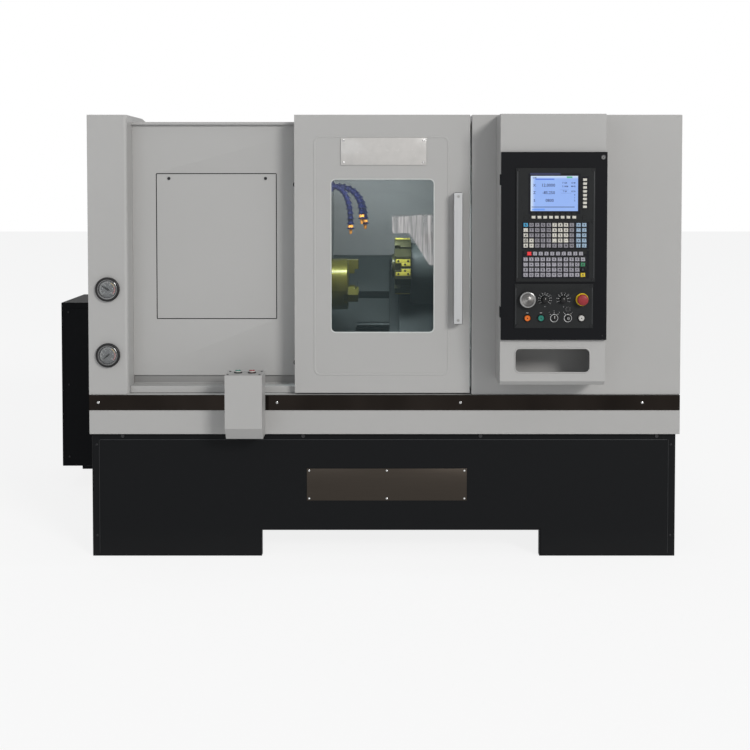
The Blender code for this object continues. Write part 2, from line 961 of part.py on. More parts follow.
def add_gauge(root, level):
    height = gauge_heights[level]
    centre = (gauge_centre, height)
    rim = -seat_gap - gauge_proud
    face = rim + gauge_face_depth
    pointer_back = face - seat_gap
    pointer_front = pointer_back - pointer_thickness
    profile = [
        (gauge_body_depth, 0), (gauge_body_depth, gauge_body_radius), (-seat_gap, gauge_body_radius),
        (-seat_gap, gauge_radius), (rim, gauge_radius), (rim, gauge_face_radius),
        (face, gauge_face_radius), (face, post_radius), (pointer_front, post_radius), (pointer_front, 0),
    ]
    piece(f"gauge_{level}", turned(profile, "Y", centre, fine_steps), root, "gauge_face")
    body = carrier(f"gauge_pointer_{level}_axis", (gauge_centre, pointer_back, height), root)
    angle = math.radians(gauge_rests[level])
    along = Vector((math.cos(angle), math.sin(angle)))
    across = Vector((-along.y, along.x))
    spread = math.asin(pointer_tip / pointer_hub_radius) * 2
    outline = []
    for reach, turn in ((pointer_length, 0.0), (pointer_tail, math.pi)):
        start = angle + turn - math.pi / 2 + spread
        tip = along * reach * math.cos(turn)
        wide = across * pointer_tip * math.cos(turn)
        outline.append(tuple(Vector(centre) + tip - wide))
        outline.append(tuple(Vector(centre) + tip + wide))
        outline += arc(centre, pointer_hub_radius, start + math.pi - spread * 2,
                       start + math.pi, corner_steps)
    needle = prism(outline, "Y", pointer_front, pointer_back)
    pointer = piece(f"gauge_pointer_{level}", needle, body, "black_plastic")
    cut(pointer, rod(post_radius + seat_gap, "Y", centre, pointer_front - overrun, pointer_back + overrun))


# Control pod

def add_pod(root):
    back = -seat_gap
    outline = [
        (back, pod_bottom),
        (pod_chamfer - pod_depth, pod_bottom),
        (-pod_depth, pod_bottom + pod_chamfer),
        (-pod_depth, pod_top),
        (back, pod_top),
    ]
    pod = piece("pod_housing", prism(outline, "X", pod_left, pod_right), root, "white_paint")
    shelf = pod_bottom + pod_shelf_rise
    inner_left = pod_left + pod_wall
    inner_right = pod_right - pod_wall
    inner_front = pod_wall - pod_depth
    lower = [
        (back + overrun, pod_bottom + pod_wall),
        (pod_chamfer + pod_wall - pod_depth, pod_bottom + pod_wall),
        (inner_front, pod_bottom + pod_chamfer + pod_wall),
        (inner_front, shelf),
        (back + overrun, shelf),
    ]
    cut(pod, prism(lower, "X", inner_left, inner_right))
    cut(pod, block(
        (inner_left, inner_front, shelf + pod_wall),
        (inner_right, back + overrun, pod_top - pod_wall),
    ))
    lid_top = lid_bottom + lid_height
    cut(pod, block(
        (inner_left, -pod_depth - overrun, lid_bottom + lid_frame),
        (inner_right, inner_front + overrun, lid_top - lid_frame),
    ))
    middle = (pod_left + pod_right) / 2
    low = (middle - slot_width / 2, pod_bottom + slot_rise)
    high = (middle + slot_width / 2, pod_bottom + slot_rise + slot_height)
    cut(pod, prism(rounded(low, high, slot_radius), "Y", -pod_depth - overrun, inner_front + overrun))


def add_lid(lid):
    lid_top = lid_bottom + lid_height
    panel = piece("pod_door", block((lid_left, lid_front, lid_bottom), (lid_right, lid_back, lid_top)),
                  lid, "black_paint")
    cut(panel, block(
        (lid_left + lid_flange, lid_front + lid_skin, lid_bottom + lid_flange),
        (lid_right - lid_flange, lid_back + overrun, lid_top - lid_flange),
    ))
    for rise in hinge_places:
        low = lid_bottom + rise
        fuse(panel, rod(hinge_radius, "Z", (lid_left, lid_front + hinge_radius), low, low + hinge_length))
    for left, bottom, width, height, inset in (
        (unit_left, unit_top - unit_height, unit_width, unit_height, unit_case_inset),
        (console_left, console_bottom, console_width, console_height, console_case_inset),
    ):
        gap = inset - fit_gap
        cut(panel, block(
            (left + gap, lid_front - overrun, bottom + gap),
            (left + width - gap, lid_back + overrun, bottom + height - gap),
        ))
    centre = (lid_right - lock_inset, lid_top - lock_drop)
    cut(panel, rod(lock_radius + seat_gap, "Y", centre, lid_front - overrun, lid_back + overrun))
    add_lock(lid, centre)
    add_control_unit(lid)
    add_console(lid)


def add_lock(lid, centre):
    front = lid_front - lock_proud
    body = carrier("pod_lock_axis", (centre[0], lid_front, centre[1]), lid)
    lock = piece("pod_lock", rod(lock_radius, "Y", centre, front, front + lock_length), body, "steel")
    low = front + lock_length - lock_tongue_width
    fuse(lock, block(
        (centre[0] - lock_tongue, low, centre[1] - lock_tongue_width / 2),
        (centre[0], front + lock_length, centre[1] + lock_tongue_width / 2),
    ))


def key(x, z, width, height):
    return block(
        (x - width / 2, bezel_front - key_height, z - height / 2),
        (x + width / 2, bezel_front + key_sink, z + height / 2),
    )


def key_places():
    """The middle and the size of every key on the control unit."""
    second_block = key_columns * key_pitch_x + block_gap
    for row in range(key_rows):
        z = unit_top - key_drop - row * key_pitch_z
        for column in range(key_columns):
            yield unit_left + key_left + column * key_pitch_x, z, key_width, key_depth
        for column in range(2):
            yield unit_left + key_left + second_block + column * key_pitch_x, z, key_width, key_depth
    for column in range(mode_strip_keys):
        x = unit_left + mode_strip_left + column * key_pitch_x
        yield x, unit_top - mode_strip_drop, key_width, key_depth
    third_block = mode_columns * key_pitch_x + block_gap
    for row in range(mode_rows):
        z = unit_top - mode_block_drop - row * key_pitch_z
        for column in range(mode_columns):
            yield unit_left + key_left + column * key_pitch_x, z, key_width, key_depth
        for column in range(4):
            yield unit_left + key_left + third_block + column * key_pitch_x, z, key_width, key_depth
    for row in range(side_key_count):
        z = unit_top - side_key_drop - row * side_key_pitch
        yield unit_left + side_key_left, z, key_width, side_key_size
    for column in range(soft_key_count):
        x = unit_left + soft_key_left + column * soft_key_pitch
        yield x, unit_top - soft_key_drop, key_width, soft_key_size


def add_control_unit(lid):
    bottom = unit_top - unit_height
    right = unit_left + unit_width
    unit = piece("cnc_unit", block((unit_left, bezel_front, bottom), (right, bezel_back, unit_top)),
                 lid, "bezel_plastic")
    fuse(unit, block(
        (unit_left + unit_case_inset, bezel_back - bezel_thickness / 2, bottom + unit_case_inset),
        (right - unit_case_inset, bezel_back + unit_case_depth, unit_top - unit_case_inset),
    ))
    screen_low = (unit_left + screen_left, unit_top - screen_drop - screen_height)
    screen_high = (screen_low[0] + screen_width, unit_top - screen_drop)
    floor = bezel_front + screen_thickness
    cut(unit, block(
        (screen_low[0] - seat_gap, bezel_front - overrun, screen_low[1] - seat_gap),
        (screen_high[0] + seat_gap, floor + seat_gap, screen_high[1] + seat_gap),
    ))
    fuse(unit, merged([key(*place) for place in key_places()]))
    piece("screen", block(
        (screen_low[0], bezel_front, screen_low[1]), (screen_high[0], floor, screen_high[1]),
    ), lid, "screen_glass")


# Knobs and buttons of the operator's panel

def add_console(lid):
    right = console_left + console_width
    top = console_bottom + console_height
    console = piece("operator_panel", block(
        (console_left, bezel_front, console_bottom), (right, bezel_back, top),
    ), lid, "bezel_plastic")
    fuse(console, block(
        (console_left + console_case_inset, bezel_back - bezel_thickness / 2,
         console_bottom + console_case_inset),
        (right - console_case_inset, bezel_back + console_case_depth, top - console_case_inset),
    ))
    high = console_bottom + console_high_row
    low = console_bottom + console_low_row
    x = [console_left + place for place in console_columns]
    wheel = (wheel_radius, wheel_depth)
    dial = (dial_radius, dial_depth)
    cap = (cap_radius, cap_depth)
    add_turning(lid, console, "handwheel", (console_left + wheel_place, high), wheel, "aluminium")
    add_turning(lid, console, "feed_knob", (console_left + dial_places[0], high), dial, "black_plastic")
    add_turning(lid, console, "speed_knob", (console_left + dial_places[1], high), dial, "black_plastic")
    add_emergency_stop(lid, console, (console_left + stop_place, high))
    add_push_button(lid, console, "orange_button", (x[0], low), "orange_plastic")
    add_push_button(lid, console, "green_button", (x[1], low), "green_plastic")
    add_turning(lid, console, "mode_selector", (x[2], low), cap, "black_plastic", lever=True)
    add_turning(lid, console, "key_switch", (x[3], low), cap, "steel", lever=True)
    add_push_button(lid, console, "white_button", (x[4], low), "white_plastic")


def add_turning(lid, console, name, centre, size, look, lever=False):
    """A knob on a stem, close to the panel's face, which turns about its own axis."""
    radius, depth = size
    back = bezel_front - seat_gap
    hole_end = bezel_front + stem_length + seat_gap
    cut(console, rod(stem_radius + seat_gap, "Y", centre, bezel_front - overrun, hole_end))
    body = carrier(f"{name}_axis", (centre[0], back, centre[1]), lid)
    edge = depth * knob_edge_share
    profile = [
        (back - depth, 0), (back - depth, radius - edge), (back - depth + edge, radius), (back, radius),
        (back, stem_radius), (bezel_front + stem_length, stem_radius), (bezel_front + stem_length, 0),
    ]
    steps = fine_steps if radius > stop_radius else round_steps
    knob = piece(name, turned(profile, "Y", centre, steps), body, look)
    if lever:
        fuse(knob, block(
            (centre[0] - lever_width / 2, back - depth - lever_rise, centre[1] - radius + edge),
            (centre[0] + lever_width / 2, back - edge, centre[1] + radius - edge),
        ))


def add_emergency_stop(lid, console, centre):
    deep = stop_travel + stem_length
    cut(console, rod(stop_stem_radius + seat_gap, "Y", centre, bezel_front - overrun, bezel_front + deep))
    body = carrier("emergency_stop_axis", (centre[0], bezel_front, centre[1]), lid)
    head_back = bezel_front - stop_stand
    crown = stop_depth * stop_crown_share
    profile = [
        (head_back - stop_depth, 0), (head_back - stop_depth, stop_radius - crown),
        (head_back - stop_depth + crown, stop_radius), (head_back - crown, stop_radius),
        (head_back, stop_radius - crown), (head_back, stop_stem_radius),
        (bezel_front + stem_length / 2, stop_stem_radius), (bezel_front + stem_length / 2, 0),
    ]
    piece("emergency_stop", turned(profile, "Y", centre, fine_steps), body, "red_plastic")


def add_push_button(lid, console, name, centre, look):
    hole = cap_radius + seat_gap
    cut(console, rod(hole, "Y", centre, bezel_front - overrun, bezel_front + stem_length + cap_travel))
    body = carrier(f"{name}_axis", (centre[0], bezel_front, centre[1]), lid)
    edge = cap_depth * knob_edge_share
    profile = [
        (bezel_front - cap_depth, 0), (bezel_front - cap_depth, cap_radius - edge),
        (bezel_front - cap_depth + edge, cap_radius), (bezel_front + stem_length / 2, cap_radius),
        (bezel_front + stem_length / 2, 0),
    ]
    piece(name, turned(profile, "Y", centre), body, look)


# Button box in front of the door

def add_button_box(root):
    outline = [
        (box_back, box_bottom),
        (box_front + box_chamfer_depth, box_bottom),
        (box_front, box_bottom + box_chamfer_height),
        (box_front, box_top),
        (box_back, box_top),
    ]
    box = piece("button_box", prism(outline, "X", box_left, box_left + box_width), root, "white_paint")
    cut(box, block(
        (box_left + box_wall, box_front + box_chamfer_depth, box_bottom + box_wall),
        (box_left + box_width - box_wall, box_back + overrun, box_top - box_button_sink - box_button_travel),
    ))
    for name, side, look in (("start_button", -1, "green_plastic"), ("stop_button", 1, "red_plastic")):
        centre = (box_centre + side * box_button_spacing / 2, box_middle_back)
        low = box_top - box_button_sink
        high = box_top + box_button_proud
        hole_bottom = low - box_button_travel - overrun
        cut(box, rod(box_button_radius + seat_gap, "Z", centre, hole_bottom, box_top + overrun))
        edge = box_button_proud * box_button_edge_share
        profile = [(low, 0), (low, box_button_radius), (high - edge, box_button_radius),
                   (high, box_button_radius - edge), (high, 0)]
        body = carrier(f"{name}_axis", (centre[0], centre[1], box_top), root)
        piece(name, turned(profile, "Z", centre), body, look)


# Spindle line

def add_headstock(root):
    half = headstock_half
    outline = [
        (-half, rail_low + seat_gap), (half, rail_low + seat_gap), (half, half - headstock_chamfer),
        (half - headstock_chamfer, half), (headstock_chamfer - half, half), (-half, half - headstock_chamfer),
    ]
    head = piece("headstock", slope_prism(outline, headstock_left, headstock_right), root, "cast_paint")
    bore_radius = (spindle_radius + running_gap) / math.cos(math.pi / fine_steps)
    cut(head, rod(bore_radius, "X", (spindle_back, spindle_height),
                  headstock_left - overrun, headstock_right + overrun, fine_steps))


def add_spindle(spindle):
    centre = (spindle_back, spindle_height)
    nose = headstock_right + seat_gap
    front = chuck_back - seat_gap
    tail = pulley_left - spindle_tail
    profile = [
        (tail, spindle_bore_radius), (tail, spindle_radius), (pulley_left, spindle_radius),
        (pulley_left, spindle_pulley_radius), (pulley_right, spindle_pulley_radius),
        (pulley_right, spindle_radius), (nose, spindle_radius), (nose, nose_radius), (front, nose_radius),
        (front, spindle_bore_radius),
    ]
    piece("spindle", turned(profile, "X", centre, fine_steps), spindle, "steel")
    profile = [
        (chuck_back, chuck_bore_radius), (chuck_back, chuck_radius - chuck_edge),
        (chuck_back + chuck_edge, chuck_radius), (chuck_face - chuck_edge, chuck_radius),
        (chuck_face, chuck_radius - chuck_edge), (chuck_face, chuck_bore_radius),
    ]
    chuck = piece("chuck_body", turned(profile, "X", centre, fine_steps), spindle, "oiled_steel")
    slots = []
    for k in range(jaw_count):
        slots.append(radial_prism([
            (jaw_slot_inner, chuck_face - jaw_root - seat_gap), (jaw_slot_inner, chuck_face + overrun),
            (chuck_radius + overrun, chuck_face + overrun),
            (chuck_radius + overrun, chuck_face - jaw_root - seat_gap),
        ], jaw_width + seat_gap * 2, k))
    for slot in slots:
        cut(chuck, slot)
    for k in range(jaw_count):
        add_jaw(spindle, k)


def jaw_angle(k):
    return math.radians(90) + math.tau * k / jaw_count


def radial_prism(outline, width, k):
    """An outline of (radius, X) points with a width across, turned to a jaw's place about the spindle."""
    shape = prism([(r, x) for r, x in outline], "Z", -width / 2, width / 2)
    angle = jaw_angle(k)
    outward = Vector((0, math.cos(angle), math.sin(angle)))
    across = Vector((0, -math.sin(angle), math.cos(angle)))
    centre = Vector((0, spindle_back, spindle_height))
    for vert in shape.verts:
        r, x, w = vert.co
        vert.co = centre + outward * r + across * w + Vector((x, 0, 0))
    shape.normal_update()
    bmesh.ops.recalc_face_normals(shape, faces=shape.faces)
    return shape


def add_jaw(spindle, k):
    root_back = chuck_face - jaw_root
    seat = chuck_face + seat_gap
    tip = chuck_face + jaw_proud
    outline = [
        (jaw_inner, root_back), (jaw_root_outer, root_back), (jaw_root_outer, seat), (jaw_outer, seat),
        (jaw_outer, tip), (jaw_inner + jaw_step_reach, tip), (jaw_inner + jaw_step_reach, tip - jaw_step),
        (jaw_inner, tip - jaw_step),
    ]
    centre = (chuck_face, spindle_back, spindle_height)
    body = carrier(f"jaw_{k + 1}_axis", centre, spindle)
    piece(f"jaw_{k + 1}", radial_prism(outline, jaw_width, k), body, "oiled_steel")


def add_motor(root):
    centre = (motor_back, motor_height)
    half_turn = math.pi / motor_sides
    reach = motor_radius / math.cos(half_turn)
    outline = []
    for k in range(motor_sides):
        angle = half_turn * (k * 2 + 1)
        outline.append((centre[0] + reach * math.cos(angle), centre[1] + reach * math.sin(angle)))
    motor_right = motor_left + motor_length
    motor = piece("spindle_motor", prism(outline, "X", motor_left, motor_right), root, "cast_paint")
    fuse(motor, block(
        (motor_left + motor_foot_inset, motor_back - motor_radius, bed_top + seat_gap),
        (motor_right - motor_foot_inset, bed_back, bed_top + seat_gap + motor_radius / 2),
    ))


def add_motor_pulley(shaft):
    centre = (motor_back, motor_height)
    profile = [
        (pulley_left, 0), (pulley_left, motor_pulley_radius), (pulley_right, motor_pulley_radius),
        (pulley_right, motor_shaft_radius), (motor_left - seat_gap, motor_shaft_radius),
        (motor_left - seat_gap, 0),
    ]
    piece("motor_pulley", turned(profile, "X", centre, fine_steps), shaft, "steel")


def belt_outline(clearance):
    """The outline of a belt round both pulleys, this far outside them."""
    first = Vector((spindle_back, spindle_height))
    second = Vector((motor_back, motor_height))
    big = spindle_pulley_radius + clearance
    small = motor_pulley_radius + clearance
    line = second - first
    heading = math.atan2(line.y, line.x)
    lean = math.acos((big - small) / line.length)
    outline = arc(first, big, heading + lean, heading + math.tau - lean, round_steps)
    return outline + arc(second, small, heading - lean, heading + lean, round_steps // 2)


def add_belt(root):
    low = pulley_left + belt_inset
    high = pulley_right - belt_inset
    facet = spindle_pulley_radius * (1 / math.cos(math.pi / fine_steps) - 1)
    belt = piece("drive_belt", prism(belt_outline(belt_thickness + running_gap + facet), "X", low, high),
                 root, "black_rubber")
    cut(belt, prism(belt_outline(running_gap + facet), "X", low - overrun, high + overrun))


# Slanted bed and the slides on it

def add_bed(root):
    low = base_height + seat_gap
    toe = (low - spindle_height + bed_drop * math.cos(slope)) / math.sin(slope)
    outline = [on_slope(toe, rail_low), (bed_back, low), (bed_back, bed_top), on_slope(bed_reach, rail_low)]
    bed = piece("slant_bed", prism(outline, "X", -bed_left, bed_right), root, "cast_paint")
    for side in (-1, 1):
        middle = side * rail_spacing / 2
        fuse(bed, slope_block(-rail_start, bed_right, middle - rail_width / 2, middle + rail_width / 2,
                              rail_low - overrun, rail_high))
    floor = low + bed_floor
    depth = rail_low - bed_wall / math.cos(slope)
    reach = (floor - spindle_height - depth * math.cos(slope)) / math.sin(slope)
    ceiling = bed_top - bed_wall
    top_reach = (ceiling - spindle_height - depth * math.cos(slope)) / math.sin(slope)
    pocket = [on_slope(reach, depth), (bed_back + overrun, floor), (bed_back + overrun, ceiling),
              on_slope(top_reach, depth)]
    length = (bed_left + bed_right - bed_web * (bed_pockets + 1)) / bed_pockets
    for k in range(bed_pockets):
        start = -bed_left + bed_web + k * (length + bed_web)
        cut(bed, prism(pocket, "X", start, start + length))


def add_z_drive(root, screw):
    axis = on_slope(0, z_screw_line)
    left = bed_right + seat_gap
    servo = slope_block(left, left + servo_length, -servo_size / 2, servo_size / 2,
                        z_screw_line - servo_size / 2, z_screw_line + servo_size / 2)
    piece("z_servo", servo, root, "black_paint")
    piece("z_screw", rod(z_screw_radius, "X", axis, -rail_start, bed_right - seat_gap), screw, "steel")


def add_saddle(saddle):
    right = saddle_left + saddle_length
    block_shape = slope_block(saddle_left, right, -saddle_low, saddle_high, saddle_bottom, saddle_top)
    body = piece("saddle", block_shape, saddle, "steel")
    middle = (saddle_left + right) / 2
    fuse(body, slope_block(middle - nut_width / 2, middle + nut_width / 2, -nut_width / 2, nut_width / 2,
                           rail_low + nut_clear, saddle_bottom + running_gap))
    cut(body, rod(z_screw_radius + running_gap, "X", on_slope(0, z_screw_line),
                  saddle_left - overrun, right + overrun))
    cut(body, slope_block(x_screw_across - x_groove_width / 2, x_screw_across + x_groove_width / 2,
                          -saddle_low - overrun, saddle_high + overrun,
                          saddle_top - x_groove_depth, saddle_top + overrun))
    servo = slope_block(x_screw_across - x_servo_size / 2, x_screw_across + x_servo_size / 2,
                        saddle_high + seat_gap, saddle_high + seat_gap + x_servo_length,
                        x_screw_line - x_servo_size / 2, x_screw_line + x_servo_size / 2)
    piece("x_servo", servo, saddle, "black_paint")


def slope_rod(radius, x, n, low_u, high_u):
    """A rod that lies along the slope."""
    shape = rod(radius, "Y", (0, 0), low_u, high_u)
    back, height = on_slope(0, n)
    shape.transform(Matrix.Translation((x, back, height)) @ Matrix.Rotation(slope, 4, "X"))
    return shape


def add_x_drive(saddle):
    body = carrier("x_screw_axis", (x_screw_across, *on_slope(0, x_screw_line)), saddle)
    screw = slope_rod(x_screw_radius, x_screw_across, x_screw_line,
                      x_screw_start - saddle_low, saddle_high - seat_gap)
    piece("x_screw", screw, body, "steel")


def add_cross_slide(slide):
    right = slide_left + slide_length
    shape = slope_block(slide_left, right, -slide_low, slide_high, slide_bottom, slide_top)
    table = piece("cross_slide", shape, slide, "steel")
    fuse(table, slope_block(x_screw_across - x_nut_width / 2, x_screw_across + x_nut_width / 2,
                            -x_nut_length / 2, x_nut_length / 2, slide_bottom - x_nut_depth,
                            slide_bottom + running_gap))
    cut(table, slope_rod(x_screw_radius + running_gap, x_screw_across, x_screw_line, -slide_low - overrun,
                         slide_high + overrun))
    centre = (turret_offset, 0)
    outline = [(turret_offset + turret_house_half, slide_top + seat_gap)]
    outline += arc(centre, turret_house_half, 0, math.pi, round_steps // 2)
    outline.append((turret_offset - turret_house_half, slide_top + seat_gap))
    start = disc_right + seat_gap
    piece("turret_housing", slope_prism(outline, start, start + turret_house_length), slide, "cast_paint")


def add_turret_disc(turret):
    half = disc_across / 2
    reach = half / math.cos(math.pi / disc_stations)
    outline = []
    for k in range(disc_stations):
        angle = math.tau * (k + 0.5) / disc_stations
        outline.append((turret_offset + reach * math.cos(angle), reach * math.sin(angle)))
    disc = piece("turret_disc", slope_prism(outline, disc_left, disc_right), turret, "oiled_steel")
    slots = []
    notches = []
    for k in range(disc_stations):
        angle = math.tau * k / disc_stations
        slots.append(station_block(angle, disc_slot_width, disc_left - overrun, disc_right + overrun))
        notch_end = disc_left + disc_notch_length
        notches.append(station_block(angle, disc_notch_width, disc_left - overrun, notch_end))
    cut(disc, merged(slots))
    cut(disc, merged(notches))
    hub = rod(disc_hub_radius, "X", on_slope(turret_offset, 0), disc_left - disc_hub_proud,
              disc_left + disc_hub_proud, round_steps)
    fuse(disc, hub)


def station_block(angle, width, low, high):
    """A cutter for one tool station, across the turret's rim at this angle in the slope's frame."""
    outward = Vector((math.cos(angle), math.sin(angle)))
    across = Vector((-outward.y, outward.x))
    centre = Vector((turret_offset, 0))
    inner = disc_across / 2 - disc_slot_depth
    outer = disc_across / 2 + overrun
    outline = []
    for reach, side in ((inner, -1), (outer, -1), (outer, 1), (inner, 1)):
        outline.append(tuple(centre + outward * reach + across * side * width / 2))
    return slope_prism(outline, low, high)


# Coolant supply over the chuck

def hose_path(start, bend, end):
    """A smooth hose from the manifold over a high bend and down to its nozzle."""
    points = []
    for k in range(hose_steps + 1):
        t = k / hose_steps
        points.append(start * (1 - t) ** 2 + bend * 2 * t * (1 - t) + end * t ** 2)
    return points


def add_manifold(root):
    left = chamber_left + seat_gap
    bottom = spindle_height + manifold_rise - manifold_height / 2
    right = left + manifold_width
    back = manifold_front + manifold_depth
    manifold = piece("coolant_manifold", block(
        (left, manifold_front, bottom), (right, back, bottom + manifold_height),
    ), root, "hose_blue")
    for reach_share, drop_share, depth_share in hose_shares:
        y = manifold_front + manifold_depth * depth_share
        start = Vector((right - hose_radius, y, bottom + manifold_height / 2))
        end = Vector((right + hose_reach * reach_share, y, start.z - hose_drop * drop_share))
        bend = Vector((end.x, y, start.z + hose_radius))
        path = hose_path(start, bend, end)
        down = (path[-1] - path[-2]).normalized()
        path.append(end + down * nozzle_length)
        radii = [hose_radius] * (hose_steps + 1) + [nozzle_tip_radius]
        fuse(manifold, swept(path, radii, hose_sides))


# Power unit at the left and the cabinet at the back

def add_power_unit(root):
    top = unit_box_bottom + unit_box_height
    unit = piece("hydraulic_unit", block(
        (unit_box_left, unit_box_front, unit_box_bottom), (unit_box_right, unit_box_back, top),
    ), root, "black_paint")
    wall = unit_box_wall
    cut(unit, block(
        (unit_box_left + wall, unit_box_front + wall, unit_box_bottom - overrun),
        (unit_box_right - wall, unit_box_back - wall, top - wall),
    ))
    y = unit_box_back - unit_foot_inset * 2
    for x in (unit_box_left, unit_box_right - unit_foot_inset * 2):
        fuse(unit, block((x, y, 0), (x + unit_foot_inset * 2, unit_box_back, unit_box_bottom + unit_foot)))


def add_cabinet(root, door):
    top = cabinet_bottom + cabinet_height
    cabinet = piece("electrical_cabinet", block(
        (cabinet_left, cabinet_front, cabinet_bottom), (cabinet_right, cabinet_back, top),
    ), root, "white_paint")
    wall = cabinet_wall
    cut(cabinet, block(
        (cabinet_left + wall, cabinet_front + cabinet_back_plate, cabinet_bottom + wall),
        (cabinet_right - wall, cabinet_back + overrun, top - wall),
    ))
    front = cabinet_back + seat_gap
    panel = piece("cabinet_door", block(
        (cabinet_left, front, cabinet_bottom), (cabinet_right, cabinet_door_back, top),
    ), door, "white_paint")
    flange = cabinet_door_flange
    cut(panel, block(
        (cabinet_left + flange, front - overrun, cabinet_bottom + flange),
        (cabinet_right - flange, cabinet_door_back - cabinet_door_skin, top - flange),
    ))


def build():
    clear_scene()
    machine = bpy.data.objects.new("machine", None)
    bpy.context.scene.collection.objects.link(machine)
    machine.location = machine_shift
    root = carrier("root_body", (0, 0, 0), machine)
    door = carrier("door_body", (0, 0, 0), root)
    lid = carrier("pod_door_axis", (lid_left, lid_front, lid_bottom), root)
    cabinet_door = carrier("cabinet_door_axis", (cabinet_left, cabinet_door_back, cabinet_bottom), root)
    spindle = carrier("spindle_axis", (chuck_face, spindle_back, spindle_height), root)
    shaft = carrier("motor_axis", (motor_left, motor_back, motor_height), root)
    saddle = carrier("saddle_body", (saddle_left, *on_slope(0, saddle_bottom)), root)
    z_screw = carrier("z_screw_axis", (bed_right, *on_slope(0, z_screw_line)), root)
    slide = carrier("cross_slide_body", (slide_left, *on_slope(0, slide_bottom)), saddle)
    turret = carrier("turret_axis", (disc_left, *on_slope(turret_offset, 0)), slide)

    add_base(root)
    add_tank(root)
    add_apron(root)
    add_left_cover(root)
    add_right_cover(root)
    add_roof(root)
    add_rear_cover(root)
    add_headstock_cover(root)
    add_rail(root)
    add_door(door)
    for level in gauge_heights:
        add_gauge(root, level)
    add_pod(root)
    add_lid(lid)
    add_button_box(root)
    add_headstock(root)
    add_spindle(spindle)
    add_motor(root)
    add_motor_pulley(shaft)
    add_belt(root)
    add_bed(root)
    add_z_drive(root, z_screw)
    add_saddle(saddle)
    add_x_drive(saddle)
    add_cross_slide(slide)
    add_turret_disc(turret)
    add_manifold(root)
    add_power_unit(root)
    add_cabinet(root, cabinet_door)


build()
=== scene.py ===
import itertools
import json
import math

import bmesh
import bpy
from mathutils import Matrix, Vector

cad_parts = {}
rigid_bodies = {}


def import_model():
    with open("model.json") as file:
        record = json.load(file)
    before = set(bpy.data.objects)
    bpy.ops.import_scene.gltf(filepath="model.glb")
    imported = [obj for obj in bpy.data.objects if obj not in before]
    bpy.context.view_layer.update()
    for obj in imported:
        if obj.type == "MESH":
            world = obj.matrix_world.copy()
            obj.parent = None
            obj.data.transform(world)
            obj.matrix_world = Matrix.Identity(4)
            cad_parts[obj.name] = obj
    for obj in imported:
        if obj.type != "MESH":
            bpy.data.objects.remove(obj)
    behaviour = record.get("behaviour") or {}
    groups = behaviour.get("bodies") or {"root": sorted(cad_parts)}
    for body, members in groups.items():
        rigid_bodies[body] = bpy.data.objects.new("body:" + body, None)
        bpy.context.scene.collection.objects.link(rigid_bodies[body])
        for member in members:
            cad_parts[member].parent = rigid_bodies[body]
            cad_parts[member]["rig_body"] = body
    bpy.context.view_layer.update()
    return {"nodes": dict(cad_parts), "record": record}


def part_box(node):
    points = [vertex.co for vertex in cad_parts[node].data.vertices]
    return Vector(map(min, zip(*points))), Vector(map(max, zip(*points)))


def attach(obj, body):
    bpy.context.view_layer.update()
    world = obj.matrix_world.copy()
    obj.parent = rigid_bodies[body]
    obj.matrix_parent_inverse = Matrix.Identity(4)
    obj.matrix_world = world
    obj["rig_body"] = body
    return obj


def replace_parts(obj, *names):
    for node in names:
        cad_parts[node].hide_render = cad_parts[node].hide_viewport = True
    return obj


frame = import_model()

FRONT = Vector((0, -1, 0))
BACK = Vector((0, 1, 0))
UP = Vector((0, 0, 1))
LEFT = Vector((-1, 0, 0))
RIGHT = Vector((1, 0, 0))
UPHILL = Vector((0, math.sqrt(0.5), math.sqrt(0.5)))            # up the bed's slope
OUTWARD = Vector((0, -math.sqrt(0.5), math.sqrt(0.5)))          # square to it
apron_low, apron_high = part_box("apron_frame")
base_low, base_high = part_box("base")
door_low, door_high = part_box("door_panel")
pane_low, pane_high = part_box("door_window")
ORIGIN = Vector(((apron_low.x + apron_high.x) / 2, door_low.y, 0.0))


# Nodes written as expressions

class Tone:
    """One node socket. Python's operators on it add Math nodes to its graph."""

    def __init__(self, graph, socket):
        self.graph = graph
        self.socket = socket

    def math(self, operation, *values):
        return self.graph.math(operation, *values)

    def __add__(self, other):
        return self.math("ADD", self, other)

    def __sub__(self, other):
        return self.math("SUBTRACT", self, other)

    def __rsub__(self, other):
        return self.math("SUBTRACT", other, self)

    def __mul__(self, other):
        return self.math("MULTIPLY", self, other)

    def __truediv__(self, other):
        return self.math("DIVIDE", self, other)

    def __pow__(self, other):
        return self.math("POWER", self, other)

    def __gt__(self, other):
        return self.math("GREATER_THAN", self, other)

    def __lt__(self, other):
        return self.math("LESS_THAN", self, other)

    __radd__ = __add__
    __rmul__ = __mul__


class Graph:
    """A tree of nodes, filled through one method."""

    def __init__(self, tree):
        self.tree = tree

    def node(self, kind, settings=None, values=(), output=0):
        made = self.tree.nodes.new(kind)
        for name, value in (settings or {}).items():
            if name == "stops":
                for stop, (place, colour) in zip(made.color_ramp.elements, value):
                    stop.position = place
                    stop.color = colour
            else:
                setattr(made, name, value)
        for key, value in (values.items() if isinstance(values, dict) else enumerate(values)):
            if isinstance(value, Tone):
                self.tree.links.new(value.socket, made.inputs[key])
            elif value is not None:
                made.inputs[key].default_value = value
        return None if output is None else Tone(self, made.outputs[output])

    def math(self, operation, *values):
        return self.node("ShaderNodeMath", {"operation": operation}, values)


